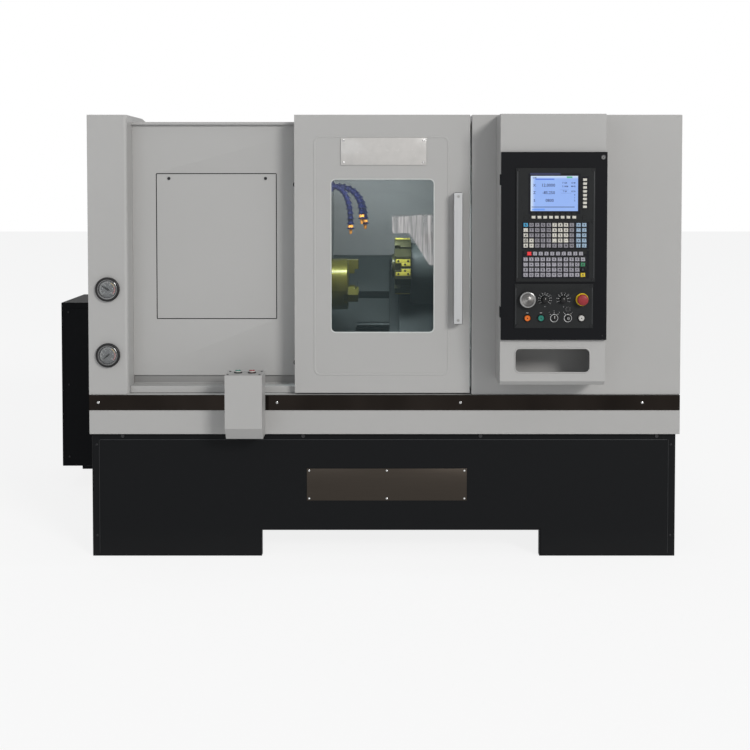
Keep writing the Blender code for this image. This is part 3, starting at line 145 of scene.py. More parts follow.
class Finish(Graph):
    """A material under construction, measured in the object's own metres."""

    def __init__(self, name):
        self.material = bpy.data.materials.new(name)
        self.material.use_nodes = True
        super().__init__(self.material.node_tree)
        self.tree.nodes.clear()
        self.place = self.node("ShaderNodeTexCoord", output="Object")

    def axis(self, index):
        return self.node("ShaderNodeSeparateXYZ", {}, [self.place], index)

    def off_centre(self, axes, centre):
        """The distances from a centre line along two axes, and straight out from it."""
        across, height = (self.axis(axis) - middle for axis, middle in zip(axes, centre))
        return across, height, self.math("SQRT", across * across + height * height)

    def shares(self, low, high):
        """How far across and up a front face a point is, from 0 to 1."""
        return [(self.axis(axis) - low[axis]) / (high[axis] - low[axis]) for axis in (0, 2)]

    def scaled(self, x, y, z):
        return self.node("ShaderNodeVectorMath", {"operation": "MULTIPLY"}, [self.place, (x, y, z)])

    def noise(self, scale, detail=2.0, vector=None):
        values = {"Vector": vector or self.place, "Scale": scale, "Detail": detail}
        return self.node("ShaderNodeTexNoise", {}, values)

    def soft(self, value, low, high):
        return self.node("ShaderNodeMapRange", {"interpolation_type": "SMOOTHSTEP"},
                         {"Value": value, "From Min": low, "From Max": high})

    def mixed(self, share, first, second):
        values = {0: share, 6: self.flat(first), 7: self.flat(second)}
        return self.node("ShaderNodeMix", {"data_type": "RGBA"}, values, 2)

    def flat(self, colour):
        return colour if isinstance(colour, Tone) else (*colour, 1.0)

    def bumps(self, height, depth, strength=1.0, normal=None):
        values = {"Strength": strength, "Distance": depth, "Height": height, "Normal": normal}
        return self.node("ShaderNodeBump", {}, values)

    def done(self, alpha=None, **sockets):
        names = {"colour": "Base Color", "roughness": "Roughness", "metallic": "Metallic", "normal": "Normal",
                 "coat": "Coat Weight", "coat_roughness": "Coat Roughness", "glow": "Emission Color",
                 "glow_strength": "Emission Strength", "ior": "IOR", "specular": "Specular IOR Level"}
        values = {names[key]: value for key, value in sockets.items()}
        values["Base Color"] = self.flat(values["Base Color"])
        if alpha is not None:
            values["Alpha"] = alpha
        shader = self.node("ShaderNodeBsdfPrincipled", {}, values)
        self.node("ShaderNodeOutputMaterial", {}, [shader], None)
        return self.material


# Finishes

def toned(colour, share):
    return tuple(channel * share for channel in colour)


def powder_coat(name, colour, roughness, peel, specular, dust=0.0, dust_height=0.2):
    """Sprayed and baked paint: orange peel, slow drifts of tone, and dust low down."""
    f = Finish(name)
    drift = f.noise(1.7, 3.0)
    fine = f.noise(420.0, 2.0)
    base = f.mixed(drift, toned(colour, 0.955), toned(colour, 1.045))
    base = f.mixed(fine * 0.10, base, toned(colour, 0.80))
    if dust:
        low = 1 - f.soft(f.axis(2) + f.noise(9.0, 4.0) * 0.05, 0.0, dust_height)
        base = f.mixed(low * dust, base, (0.30, 0.29, 0.27))
    rough = f.noise(26.0, 4.0) * 0.10 + (roughness - 0.05)
    skin = f.bumps(f.noise(peel, 1.0), 0.00022, 0.35)
    return f.done(colour=base, roughness=rough, normal=skin, specular=specular)


def rail_coat(name, colour, roughness, face, ledge):
    """The door rail's paint, darkened on the upright face that the rollers pass as painted shade of the recess
    under the cover's lower edge.
    """
    f = Finish(name)
    drift = f.noise(1.7, 3.0)
    base = f.mixed(drift, toned(colour, 0.955), toned(colour, 1.045))
    # painted shade: the upright face above the ledge darkened to 60 per cent, with faint upright streaks
    painted_shade = f.soft(f.axis(1), face - 0.0015, face - 0.0003) * f.soft(f.axis(2), ledge, ledge + 0.004)
    streak = f.noise(1.0, 3.0, f.scaled(6.0, 6.0, 90.0))
    base = f.mixed(painted_shade * (streak * 0.12 + 0.80), base, toned(colour, 0.60))
    return f.done(colour=base, roughness=f.noise(26.0, 4.0) * 0.10 + (roughness - 0.05), specular=0.35,
                  normal=f.bumps(f.noise(330.0, 1.0), 0.00022, 0.35))


def brushed(name, colour, roughness, across, depth=0.00004, grime=0.06):
    """Metal with fine lines along one axis; across gives how often they come along X, Y and Z."""
    f = Finish(name)
    lines = f.noise(1.0, 3.0, f.scaled(*across))
    cloud = f.noise(14.0, 3.0)
    base = f.mixed(lines, toned(colour, 0.86), toned(colour, 1.08))
    base = f.mixed(cloud * grime, base, toned(colour, 0.45))
    rough = lines * 0.16 + cloud * 0.08 + (roughness - 0.12)
    return f.done(colour=base, roughness=rough, metallic=1.0, normal=f.bumps(lines, depth, 0.5))


def polished(name, tone, roughness):
    return brushed(name, (tone, tone, tone), roughness, (300.0, 300.0, 300.0), 0.00001, 0.25)


def plated(name, colour, roughness, grain):
    return brushed(name, colour, roughness, (grain, grain, grain), grime=0.3)


def lathe_turned(name, colour, roughness, centre, oil=None, bare=1.0):
    """Metal turned about a line along X, with the tool's rings; oil hides the bare metal in patches."""
    f = Finish(name)
    radius = f.off_centre((1, 2), centre)[2]
    rings = f.node("ShaderNodeCombineXYZ", {}, [f.axis(0) * 900.0, radius * 900.0, 0.0])
    lines = f.noise(1.0, 2.0, rings)
    cloud = f.noise(22.0, 4.0)
    base = f.mixed(lines, toned(colour, 0.84), toned(colour, 1.10))
    if oil:
        base = f.mixed(f.soft(cloud, 0.42, 0.62) * 0.55, base, oil)
    rough = lines * 0.14 + cloud * 0.14 + (roughness - 0.14)
    return f.done(colour=base, roughness=rough, metallic=bare, normal=f.bumps(lines, 0.00005, 0.6),
                  coat=0.35 if oil else 0.0, coat_roughness=0.08)


def spun_face_with_painted_sheen(name, colour, centre):
    """The handwheel's face: spun rings, with light and dark fans painted into its colour as a painted highlight
    of turned metal.
    """
    f = Finish(name)
    across, height, radius = f.off_centre((0, 2), centre.xz)
    # painted highlight: two light and two dark fans round the middle, painted into the colour rather than made
    # by the lights
    painted_sheen_fans = f.math("SINE", f.math("ARCTAN2", height, across) * 2 + 0.6) * 0.5 + 0.5
    rings = f.noise(1.0, 2.0, f.node("ShaderNodeCombineXYZ", {}, [radius * 2600.0, 0.0, 0.0]))
    patches = f.noise(420.0, 3.0)
    base = f.mixed(painted_sheen_fans ** 3, toned(colour, 0.75), toned(colour, 2.1))
    base = f.mixed(rings * 0.7, base, toned(colour, 0.35))
    base = f.mixed(f.soft(patches, 0.5, 0.7) * 0.35, base, toned(colour, 0.3))
    return f.done(colour=base, roughness=rings * 0.2 + 0.25, metallic=1.0, normal=f.bumps(rings, 0.00003, 0.5))


def moulded(name, colour, roughness, grain=900.0, depth=0.00006, coat=0.0, specular=0.35):
    """Plastic with a fine mould grain and slight scuffs."""
    f = Finish(name)
    speck = f.noise(grain, 1.0)
    scuff = f.noise(60.0, 5.0)
    base = f.mixed(f.noise(35.0, 2.0), toned(colour, 0.90), toned(colour, 1.08))
    rough = f.soft(scuff, 0.45, 0.75) * 0.12 + speck * 0.06 + (roughness - 0.06)
    return f.done(colour=base, roughness=rough, normal=f.bumps(speck, depth, 0.35), coat=coat,
                  coat_roughness=0.12, specular=specular)


def cap_plastic(name, colour, roughness=0.38, coat=0.12, specular=0.35):
    return moulded(name, colour, roughness, 900.0, 0.00003, coat, specular)


def key_plastic(name, colour, roughness=0.52):
    return moulded(name, colour, roughness, 1200.0, 0.00002)


def hammered(name, colour, roughness):
    """Painted casting: a coarse skin under thick paint, with oily darker patches."""
    f = Finish(name)
    lumps = f.noise(130.0, 4.0)
    cloud = f.noise(7.0, 4.0)
    base = f.mixed(cloud, toned(colour, 0.80), toned(colour, 1.12))
    base = f.mixed(f.soft(lumps, 0.55, 0.8) * 0.25, base, toned(colour, 0.55))
    return f.done(colour=base, roughness=lumps * 0.18 + (roughness - 0.09), normal=f.bumps(lumps, 0.0006, 0.35))


def clear_pane(name, colour, reflection_colour, body_alpha, low, high):
    """Tinted polycarbonate: a pale painted reflection by the turret, a faint painted reflection haze at the
    upper left, and streaks.
    """
    f = Finish(name)
    across, rise = f.shares(low, high)
    smear = f.soft(f.noise(1.0, 4.0, f.scaled(9.0, 9.0, 26.0)), 0.45, 0.75)
    # painted reflection: the pane paler and more opaque towards the upper left
    painted_haze = f.soft(rise * 0.7 - across * 0.5 + f.noise(5.0, 3.0) * 0.25, 0.25, 0.85)
    runs = f.soft(f.noise(1.0, 3.0, f.scaled(85.0, 1.0, 5.0)), 0.35, 0.65)
    edge = f.noise(14.0, 2.0) * 0.04
    # painted reflection: a pale, streaked patch beside and above the turret
    beside = f.soft(rise + across * 1.087, 1.430, 1.455) * f.soft(rise, 0.435, 0.450)
    above = f.soft(rise + edge, 0.655, 0.670)
    painted_reflection = f.math("MAXIMUM", beside, above) * f.soft(across + edge, 0.605, 0.620)
    painted_reflection = painted_reflection * (1 - f.soft(rise + edge, 0.765, 0.785)) * (runs * 0.5 + 0.5)
    base = f.mixed(f.math("MAXIMUM", painted_haze * 0.12, painted_reflection), colour, reflection_colour)
    alpha = painted_reflection * 0.46 + painted_haze * 0.06 + smear * 0.03 + body_alpha
    return f.done(colour=base, roughness=smear * 0.05 + 0.03, alpha=alpha, ior=1.49, specular=0.22)


def thin_lens(name):
    f = Finish(name)
    smear = f.soft(f.noise(80.0, 3.0), 0.5, 0.8)
    return f.done(colour=(0.5, 0.52, 0.53), roughness=smear * 0.06 + 0.03, alpha=smear * 0.02 + 0.04)


def smoked_mirror(name, colour):
    """Dark polished strip with faint long waves in its surface, whose light and dark tone is also painted into
    the colour as a painted reflection, with wiped marks and fine scratches.
    """
    f = Finish(name)
    wave_and_painted_reflection = f.noise(1.0, 2.0, f.scaled(5.0, 1.0, 2.0))
    scratch = f.noise(1.0, 2.0, f.scaled(12.0, 700.0, 700.0))
    # painted reflection: broad light and dark tone along the strip, on top of the real waviness in the bump
    base = f.mixed(wave_and_painted_reflection, toned(colour, 0.55), toned(colour, 1.9))
    rough = f.soft(f.noise(30.0, 4.0), 0.5, 0.75) * 0.08 + scratch * 0.05 + 0.04
    skin = f.bumps(wave_and_painted_reflection, 0.004, 0.25)
    return f.done(colour=base, roughness=rough, metallic=1.0, normal=f.bumps(scratch, 0.00002, 0.3, skin))


def display(name, low, high):
    """The lit screen: a pale blue field with bars and rules, brighter towards its top and left edges."""
    f = Finish(name)
    across, rise = f.shares(low, high)
    glow = f.mixed(f.noise(18.0, 2.0), (0.27, 0.43, 0.91), (0.33, 0.52, 0.97))
    edge = f.math("MAXIMUM", 1 - f.soft(across, 0.0, 0.10), f.soft(rise, 0.90, 1.0))
    glow = f.mixed(edge * 0.75, glow, (0.80, 0.91, 1.0))
    for left, right, bottom, top, share, colour in (
        (0.10, 0.50, 0.885, 0.925, 0.8, (0.05, 0.14, 0.75)),
        (0.76, 0.88, 0.935, 0.985, 1.0, (0.10, 0.48, 0.28)),
        (0.02, 0.93, 0.105, 0.128, 0.9, (0.05, 0.07, 0.16)),
        (0.03, 0.30, 0.020, 0.070, 0.7, (0.08, 0.28, 0.95)),
        (0.64, 0.86, 0.505, 0.512, 0.7, (0.10, 0.15, 0.40)),
        (0.62, 0.80, 0.600, 0.608, 0.7, (0.10, 0.15, 0.40)),
    ):
        bar = (across > left) * (across < right) * (rise > bottom) * (rise < top)
        glow = f.mixed(bar * share, glow, colour)
    lines = f.noise(1.0, 0.0, f.scaled(0.0, 0.0, 2400.0))
    glow = f.mixed(lines * 0.06, glow, (0.02, 0.04, 0.12))
    return f.done(colour=(0.01, 0.012, 0.02), roughness=lines * 0.02 + 0.10, glow=glow, glow_strength=0.92)


def dial_card(name, centre):
    """A gauge's grey card, a little darker towards its rim."""
    f = Finish(name)
    radius = f.off_centre((0, 2), centre.xz)[2]
    base = f.mixed(f.soft(radius, 0.018, 0.036), (0.110, 0.116, 0.120), (0.050, 0.053, 0.055))
    paper = f.noise(900.0, 2.0)
    base = f.mixed(paper * 0.15, base, (0.10, 0.10, 0.10))
    return f.done(colour=base, roughness=paper * 0.1 + 0.40)


def printed(name, colour, roughness=0.5):
    """Ink or a lamp's cap, with slightly uneven cover."""
    f = Finish(name)
    cover = f.noise(700.0, 3.0)
    base = f.mixed(cover, toned(colour, 0.86), toned(colour, 1.06))
    return f.done(colour=base, roughness=cover * 0.1 + roughness)


spindle_low, spindle_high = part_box("spindle")
spindle_centre = ((spindle_low.y + spindle_high.y) / 2, (spindle_low.z + spindle_high.z) / 2)
disc_low, disc_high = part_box("turret_disc")
disc_centre = ((disc_low.y + disc_high.y) / 2, (disc_low.z + disc_high.z) / 2)
screen_low, screen_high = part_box("screen")
rail_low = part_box("door_rail_bottom")[0]
RAIL_FACE = 0.1103         # the rail's upright face, behind the door's face
RAIL_LEDGE = 0.0257        # the rail's ledge, above its lower edge

LIGHT_GREY = (0.400, 0.396, 0.390)
WHITE = powder_coat("light_powder_coat", LIGHT_GREY, 0.42, 330.0, 0.35)
BLACK = powder_coat("black_powder_coat", (0.0034, 0.0038, 0.0046), 0.54, 520.0, 0.12, 0.008, 0.16)
RAIL = rail_coat("rail_powder_coat", LIGHT_GREY, 0.42, ORIGIN.y + RAIL_FACE, rail_low.z + RAIL_LEDGE)
# painted shade: a darker copy of the black paint for the power unit, which stands in shade
SHADED_UNIT_BLACK = powder_coat("power_unit_coat", (0.0020, 0.0023, 0.0032), 0.56, 520.0, 0.08)
POD_BLACK = powder_coat("pod_black_coat", (0.0026, 0.0029, 0.0042), 0.46, 620.0, 0.12)
MIRROR = smoked_mirror("smoked_mirror_strip", (0.0170, 0.0138, 0.0118))
CAST = hammered("painted_casting", (0.070, 0.081, 0.079), 0.50)
OILED = lathe_turned("oiled_chuck_steel", (0.150, 0.135, 0.015), 0.36, spindle_centre,
                     (0.105, 0.095, 0.008), 0.60)
DISC = lathe_turned("oiled_turret_steel", (0.070, 0.068, 0.026), 0.44, disc_centre, (0.045, 0.045, 0.013), 0.55)
CLAMP = lathe_turned("oiled_clamp_steel", (0.80, 0.70, 0.10), 0.40, disc_centre, (0.62, 0.54, 0.05), 0.35)
SLIDE = brushed("oily_slide_steel", (0.060, 0.066, 0.066), 0.46, (900.0, 40.0, 40.0), grime=0.4)
TURNED = lathe_turned("turned_steel", (0.50, 0.50, 0.49), 0.30, spindle_centre)
GROUND = brushed("ground_steel", (0.50, 0.50, 0.48), 0.32, (900.0, 40.0, 40.0))
ALUMINIUM = brushed("satin_aluminium", (0.46, 0.465, 0.47), 0.36, (1500.0, 1500.0, 12.0), grime=0.03)
PLATE = brushed("brushed_plate", (0.050, 0.042, 0.035), 0.34, (10.0, 1400.0, 1400.0), grime=0.10)
CHROME = polished("polished_chrome", 0.56, 0.16)
ZINC = plated("zinc_fastener", (0.34, 0.34, 0.33), 0.34, 700.0)
DARK_BOLT = plated("blackened_fastener", (0.035, 0.035, 0.037), 0.45, 600.0)
BEZEL = moulded("charcoal_bezel", (0.0130, 0.0140, 0.0148), 0.56, specular=0.16)
KEYPAD = moulded("keypad_film", (0.0055, 0.0060, 0.0095), 0.50, 1500.0, 0.00002, specular=0.14)
RUBBER = moulded("black_rubber_seal", (0.0070, 0.0070, 0.0075), 0.75, 700.0, specular=0.18)
BELT = moulded("toothed_belt_rubber", (0.010, 0.010, 0.010), 0.80, 250.0, 0.0004, specular=0.18)
GASKET = moulded("pale_window_gasket", (0.55, 0.56, 0.55), 0.55, 600.0)
LOCK_ZINC = plated("lock_zinc", (0.17, 0.17, 0.17), 0.38, 700.0)
RIM = polished("polished_rim", 0.34, 0.20)
GAUGE_RING = polished("gauge_ring", 0.20, 0.22)
FLAT_BOLT = plated("flat_black_bolt", (0.060, 0.060, 0.062), 0.50, 600.0)
RIDGE = moulded("grey_ridge", (0.046, 0.048, 0.051), 0.50, specular=0.2)
HOSE = moulded("blue_hose_joints", (0.0010, 0.0024, 0.030), 0.50, 500.0, specular=0.12)
NOZZLE = moulded("orange_nozzle", (0.72, 0.27, 0.040), 0.46, 500.0, specular=0.2)
RED = cap_plastic("red_cap", (0.26, 0.016, 0.022), 0.42, 0.08)
GREEN = cap_plastic("green_cap", (0.007, 0.165, 0.125))
ORANGE = cap_plastic("orange_cap", (0.66, 0.14, 0.008))
PALE = cap_plastic("pale_cap", (0.50, 0.49, 0.47))
YELLOW = cap_plastic("yellow_ring", (0.62, 0.42, 0.008), 0.42, 0.05)
BLACK_CAP = cap_plastic("black_cap", (0.0075, 0.0075, 0.0080), 0.40, 0.0, 0.25)
GAUGE_CASE = moulded("gauge_case", (0.0060, 0.0060, 0.0066), 0.34, 500.0, 0.00003, 0.0, 0.30)
KEY_PALE = key_plastic("pale_key", (0.60, 0.58, 0.52))
KEY_GREY = key_plastic("grey_key", (0.250, 0.240, 0.270))
KEY_BLUE = key_plastic("light_blue_key", (0.29, 0.40, 0.52))
KEY_CYAN = key_plastic("cyan_key", (0.055, 0.31, 0.52))
KEY_MODE = key_plastic("mode_key", (0.33, 0.32, 0.36))
KEY_GREEN = key_plastic("green_key", (0.035, 0.21, 0.10), 0.48)
KEY_YELLOW = key_plastic("yellow_key", (0.66, 0.50, 0.035), 0.48)
INK = printed("dark_ink", (0.025, 0.025, 0.035))
SCREEN_INK = printed("screen_ink", (0.008, 0.014, 0.085), 0.5)
PALE_INK = printed("pale_ink", (0.60, 0.60, 0.60))
RED_INK = printed("red_scale", (0.42, 0.03, 0.02))
YELLOW_INK = printed("yellow_scale", (0.55, 0.36, 0.02))
LAMP_RED = printed("red_lamp", (0.85, 0.03, 0.04), 0.3)
# the second colour is the pale colour of the pane's painted reflection
PANE = clear_pane("window_polycarbonate", (0.024, 0.037, 0.040), (0.58, 0.56, 0.56), 0.30, pane_low, pane_high)
PLATE_CLEAR = moulded("door_plate_acrylic", (0.50, 0.485, 0.470), 0.22, 300.0, 0.00001, 0.6)
LENS = thin_lens("gauge_lens")
SCREEN = display("lit_screen", screen_low, screen_high)
wheel_low, wheel_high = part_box("handwheel")
SPUN = spun_face_with_painted_sheen("spun_handwheel", (0.20, 0.195, 0.19), (wheel_low + wheel_high) / 2)
NAVY = printed("navy_strip", (0.006, 0.010, 0.060))

SLOT_FINISH = {
    "white_paint": WHITE, "black_paint": BLACK, "dark_mirror": MIRROR, "cast_paint": CAST, "oiled_steel": OILED,
    "steel": TURNED, "aluminium": ALUMINIUM, "bezel_plastic": BEZEL, "window_pane": PANE,
    "screen_glass": SCREEN, "gauge_face": GAUGE_CASE, "black_rubber": BELT, "hose_blue": HOSE,
    "red_plastic": RED, "green_plastic": GREEN, "orange_plastic": ORANGE, "white_plastic": PALE,
    "black_plastic": BLACK_CAP,
}
SHARED_SLOTS = {
    "black_paint": (POD_BLACK, SHADED_UNIT_BLACK),
    "white_paint": (RAIL,),
    "steel": (SLIDE, GROUND, PLATE, CHROME, ZINC, DARK_BOLT, LOCK_ZINC, RIM, GAUGE_RING, FLAT_BOLT),
    "oiled_steel": (DISC, CLAMP),
    "aluminium": (SPUN,),
    "bezel_plastic": (KEYPAD, RIDGE, KEY_GREY, KEY_MODE),
    "black_plastic": (NAVY, INK, SCREEN_INK),
    "white_plastic": (GASKET, KEY_PALE, KEY_BLUE, PALE_INK, PLATE_CLEAR),
    "orange_plastic": (NOZZLE, YELLOW, KEY_YELLOW, YELLOW_INK),
    "red_plastic": (RED_INK, LAMP_RED),
    "green_plastic": (KEY_GREEN,),
    "hose_blue": (KEY_CYAN,),
    "black_rubber": (RUBBER,),
    "window_pane": (LENS,),
}
FINISH_SLOT = {finish.name: slot for slot, finish in SLOT_FINISH.items()}
for slot, finishes in SHARED_SLOTS.items():
    FINISH_SLOT.update({finish.name: slot for finish in finishes})


# Pieces from mesh code

def placed(name, data):
    obj = bpy.data.objects.new(name, data)
    bpy.context.scene.collection.objects.link(obj)
    return obj


def keep(name, mesh, body, finish, sharp=35):
    """A finished piece: its mesh, its material and its body."""
    obj = placed(name, mesh)
    mesh.materials.clear()
    mesh.materials.append(finish)
    mesh.shade_smooth()
    mesh.set_sharp_from_angle(angle=math.radians(sharp))
    FINISH_SLOT.get(finish.name, "gauge_face")
    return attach(obj, body)


def shaped(name, shapes, body, finish, sharp=35):
    """One shape, or several as one mesh of separate closed shells, kept as a piece."""
    whole = bmesh.new()
    for shape in shapes if isinstance(shapes, list) else [shapes]:
        mesh = bpy.data.meshes.new("scrap")
        shape.to_mesh(mesh)
        shape.free()
        whole.from_mesh(mesh)
        bpy.data.meshes.remove(mesh)
    mesh = bpy.data.meshes.new(name)
    whole.to_mesh(mesh)
    whole.free()
    return keep(name, mesh, body, finish, sharp)


def block(low, high, edge=0.0, steps=2):
    shape = bmesh.new()
    size = [abs(high[i] - low[i]) for i in range(3)]
    middle = [(high[i] + low[i]) / 2 for i in range(3)]
    bmesh.ops.create_cube(shape, size=1, matrix=Matrix.Translation(middle) @ Matrix.Diagonal((*size, 1)))
    if edge:
        bmesh.ops.bevel(shape, geom=shape.edges[:], offset=edge, segments=steps, profile=0.5, affect="EDGES",
                        clamp_overlap=True)
    return shape


def loft(rings, closed=True):
    """Faces between each ring of points and the next; an open row of rings gets two end faces."""
    shape = bmesh.new()
    made = [[shape.verts.new(point) for point in ring] for ring in rings]
    for first, second in zip(made, made[1:] + (made[:1] if closed else [])):
        steps = max(len(first), len(second))
        for k in range(steps if steps > 1 else 0):
            n = (k + 1) % steps
            if len(first) == 1:
                shape.faces.new((first[0], second[k], second[n]))
            elif len(second) == 1:
                shape.faces.new((first[k], first[n], second[0]))
            else:
                shape.faces.new((first[k], first[n], second[n], second[k]))
    if not closed:
        shape.faces.new(made[0])
        shape.faces.new(made[-1])
    bmesh.ops.recalc_face_normals(shape, faces=shape.faces)
    return shape


def turned(profile, axis, centre, steps=48):
    """A closed profile of (along, radius) points, turned about a line through centre."""
    side = axis.orthogonal().normalized()
    other = axis.cross(side)
    angles = [math.tau * k / steps for k in range(steps)]
    turns = [side * math.cos(angle) + other * math.sin(angle) for angle in angles]
    rings = []
    for along, radius in profile:
        rings.append([centre + axis * along + turn * radius for turn in (turns if radius > 0 else turns[:1])])
    return loft(rings)


def mm(*points):
    """Pairs of measures in millimetres, as metres."""
    return [(first / 1000, second / 1000) for first, second in points]


def lathed(name, profile, axis, centre, body, finish, steps=48, sharp=35):
    return shaped(name, turned(profile, axis, centre, steps), body, finish, sharp)


def arc(centre, axes, section, start, end, steps=24):
    """A section of (height, radius) points swept round part of a circle; axes are its across, up and out."""
    across, up, out = axes
    rings = []
    for k in range(steps + 1):
        angle = math.radians(start + (end - start) * k / steps)
        reach = across * math.cos(angle) + up * math.sin(angle)
        rings.append([centre + out * height + reach * radius for height, radius in section])
    return loft(rings, False)


def flat_arc(centre, inner, outer, start, end, thick=0.0001, steps=24):
    """A flat band on an arc of a front face."""
    section = ((0, inner), (0, outer), (thick, outer), (thick, inner))
    return arc(centre, (RIGHT, UP, FRONT), section, start, end, steps)


def bead_round(low, high, radius, y, profile, steps=8):
    """A bead round a rectangle of a front face; the profile holds (outward, forward) points."""
    corners = ((high[0] - radius, high[1] - radius), (low[0] + radius, high[1] - radius),
               (low[0] + radius, low[1] + radius), (high[0] - radius, low[1] + radius))
    rings = []
    for quarter, (x, z) in enumerate(corners):
        for k in range(steps + 1):
            angle = math.pi / 2 * (quarter + k / steps)
            ring = []
            for out, forward in profile:
                reach = radius + out
                ring.append((x + reach * math.cos(angle), y - forward, z + reach * math.sin(angle)))
            rings.append(ring)
    return loft(rings)


def half_round(width, height, steps=6):
    points = []
    for k in range(steps + 1):
        angle = math.pi * k / steps
        points.append((width / 2 * math.cos(angle), height * math.sin(angle)))
    return points + [(-width / 2, -0.0004), (width / 2, -0.0004)]


def round_upright(shape, x, y, width):
    """Rounds one upright edge of a shape more than the others."""
    edges = []
    for edge in shape.edges:
        if all(abs(vert.co.x - x) < 1e-4 and abs(vert.co.y - y) < 1e-4 for vert in edge.verts):
            edges.append(edge)
    bmesh.ops.bevel(shape, geom=edges, offset=width, segments=4, profile=0.5, affect="EDGES")


def round_edges(obj, width, angle=30):
    bevel = obj.modifiers.new("edges", "BEVEL")
    bevel.width = width
    bevel.segments = 2
    bevel.limit_method = "ANGLE"
    bevel.angle_limit = math.radians(angle)
    bevel.harden_normals = True
    bevel.use_clamp_overlap = True


def dressed(node, edge, finish=None, wide=None):
    """A CAD node's own shape, with its edges rounded and its faces shaded cleanly."""
    source = frame["nodes"][node]
    shape = bmesh.new()
    shape.from_mesh(source.data)
    bmesh.ops.remove_doubles(shape, verts=shape.verts, dist=1e-6)
    bmesh.ops.dissolve_limit(shape, angle_limit=math.radians(0.4), verts=shape.verts, edges=shape.edges)
    if wide:
        round_upright(shape, *wide)
    mesh = bpy.data.meshes.new(f"finished_{node}")
    shape.to_mesh(mesh)
    shape.free()
    obj = keep(f"finished_{node}", mesh, source["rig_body"], finish or SLOT_FINISH[slot_of[node]], 30)
    round_edges(obj, edge)
    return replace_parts(obj, node)


def plain_mesh(holder):
    """The mesh that an object's text or nodes make, after which the object is removed."""
    bpy.context.view_layer.update()
    mesh = bpy.data.meshes.new_from_object(holder.evaluated_get(bpy.context.evaluated_depsgraph_get()))
    bpy.data.objects.remove(holder)
    return mesh


def lettering(name, marks, body, finish, thick=0.0002, weight=0.0):
    """Generic characters on front faces: each mark is its text, its height and its middle."""
    shapes = []
    for text, size, place in marks:
        font = bpy.data.curves.new("scrap", "FONT")
        font.body = text
        font.size = size
        font.align_x = "CENTER"
        font.align_y = "CENTER"
        font.resolution_u = 2
        font.offset = weight
        font.extrude = thick / 2
        mesh = plain_mesh(placed("scrap", font))
        mesh.transform(Matrix.Translation(place) @ Matrix.Rotation(math.pi / 2, 4, "X"))
        shape = bmesh.new()
        shape.from_mesh(mesh)
        bmesh.ops.remove_doubles(shape, verts=shape.verts, dist=1e-7)
        shapes.append(shape)
        bpy.data.curves.remove(font)
        bpy.data.meshes.remove(mesh)
    return shaped(name, shapes, body, finish, 40)


# Places for what repeats

def rows(low, high, margin, count=2):
    """Measures spread evenly from one end's margin to the other's."""
    return [low + margin + (high - low - 2 * margin) * k / (count - 1) for k in range(count)]


def spread(way, *sides):
    """Every place that the given X, Y and Z measures make, each facing one way."""
    lists = [side if isinstance(side, (list, tuple)) else [side] for side in sides]
    return [(Vector(place), way) for place in itertools.product(*lists)]


def around(centre, radius, degrees, across=RIGHT, up=UP):
    """A place on a circle."""
    angle = math.radians(degrees)
    return centre + (across * math.cos(angle) + up * math.sin(angle)) * radius


def at_depth(place, y):
    return Vector((place.x, y, place.z))


def middle_of(node, y=None):
    """A node's middle, moved to the given Y or else to the node's front."""
    low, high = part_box(node)
    return Vector(((low.x + high.x) / 2, low.y if y is None else y, (low.z + high.z) / 2))


# Geometry Nodes for what repeats

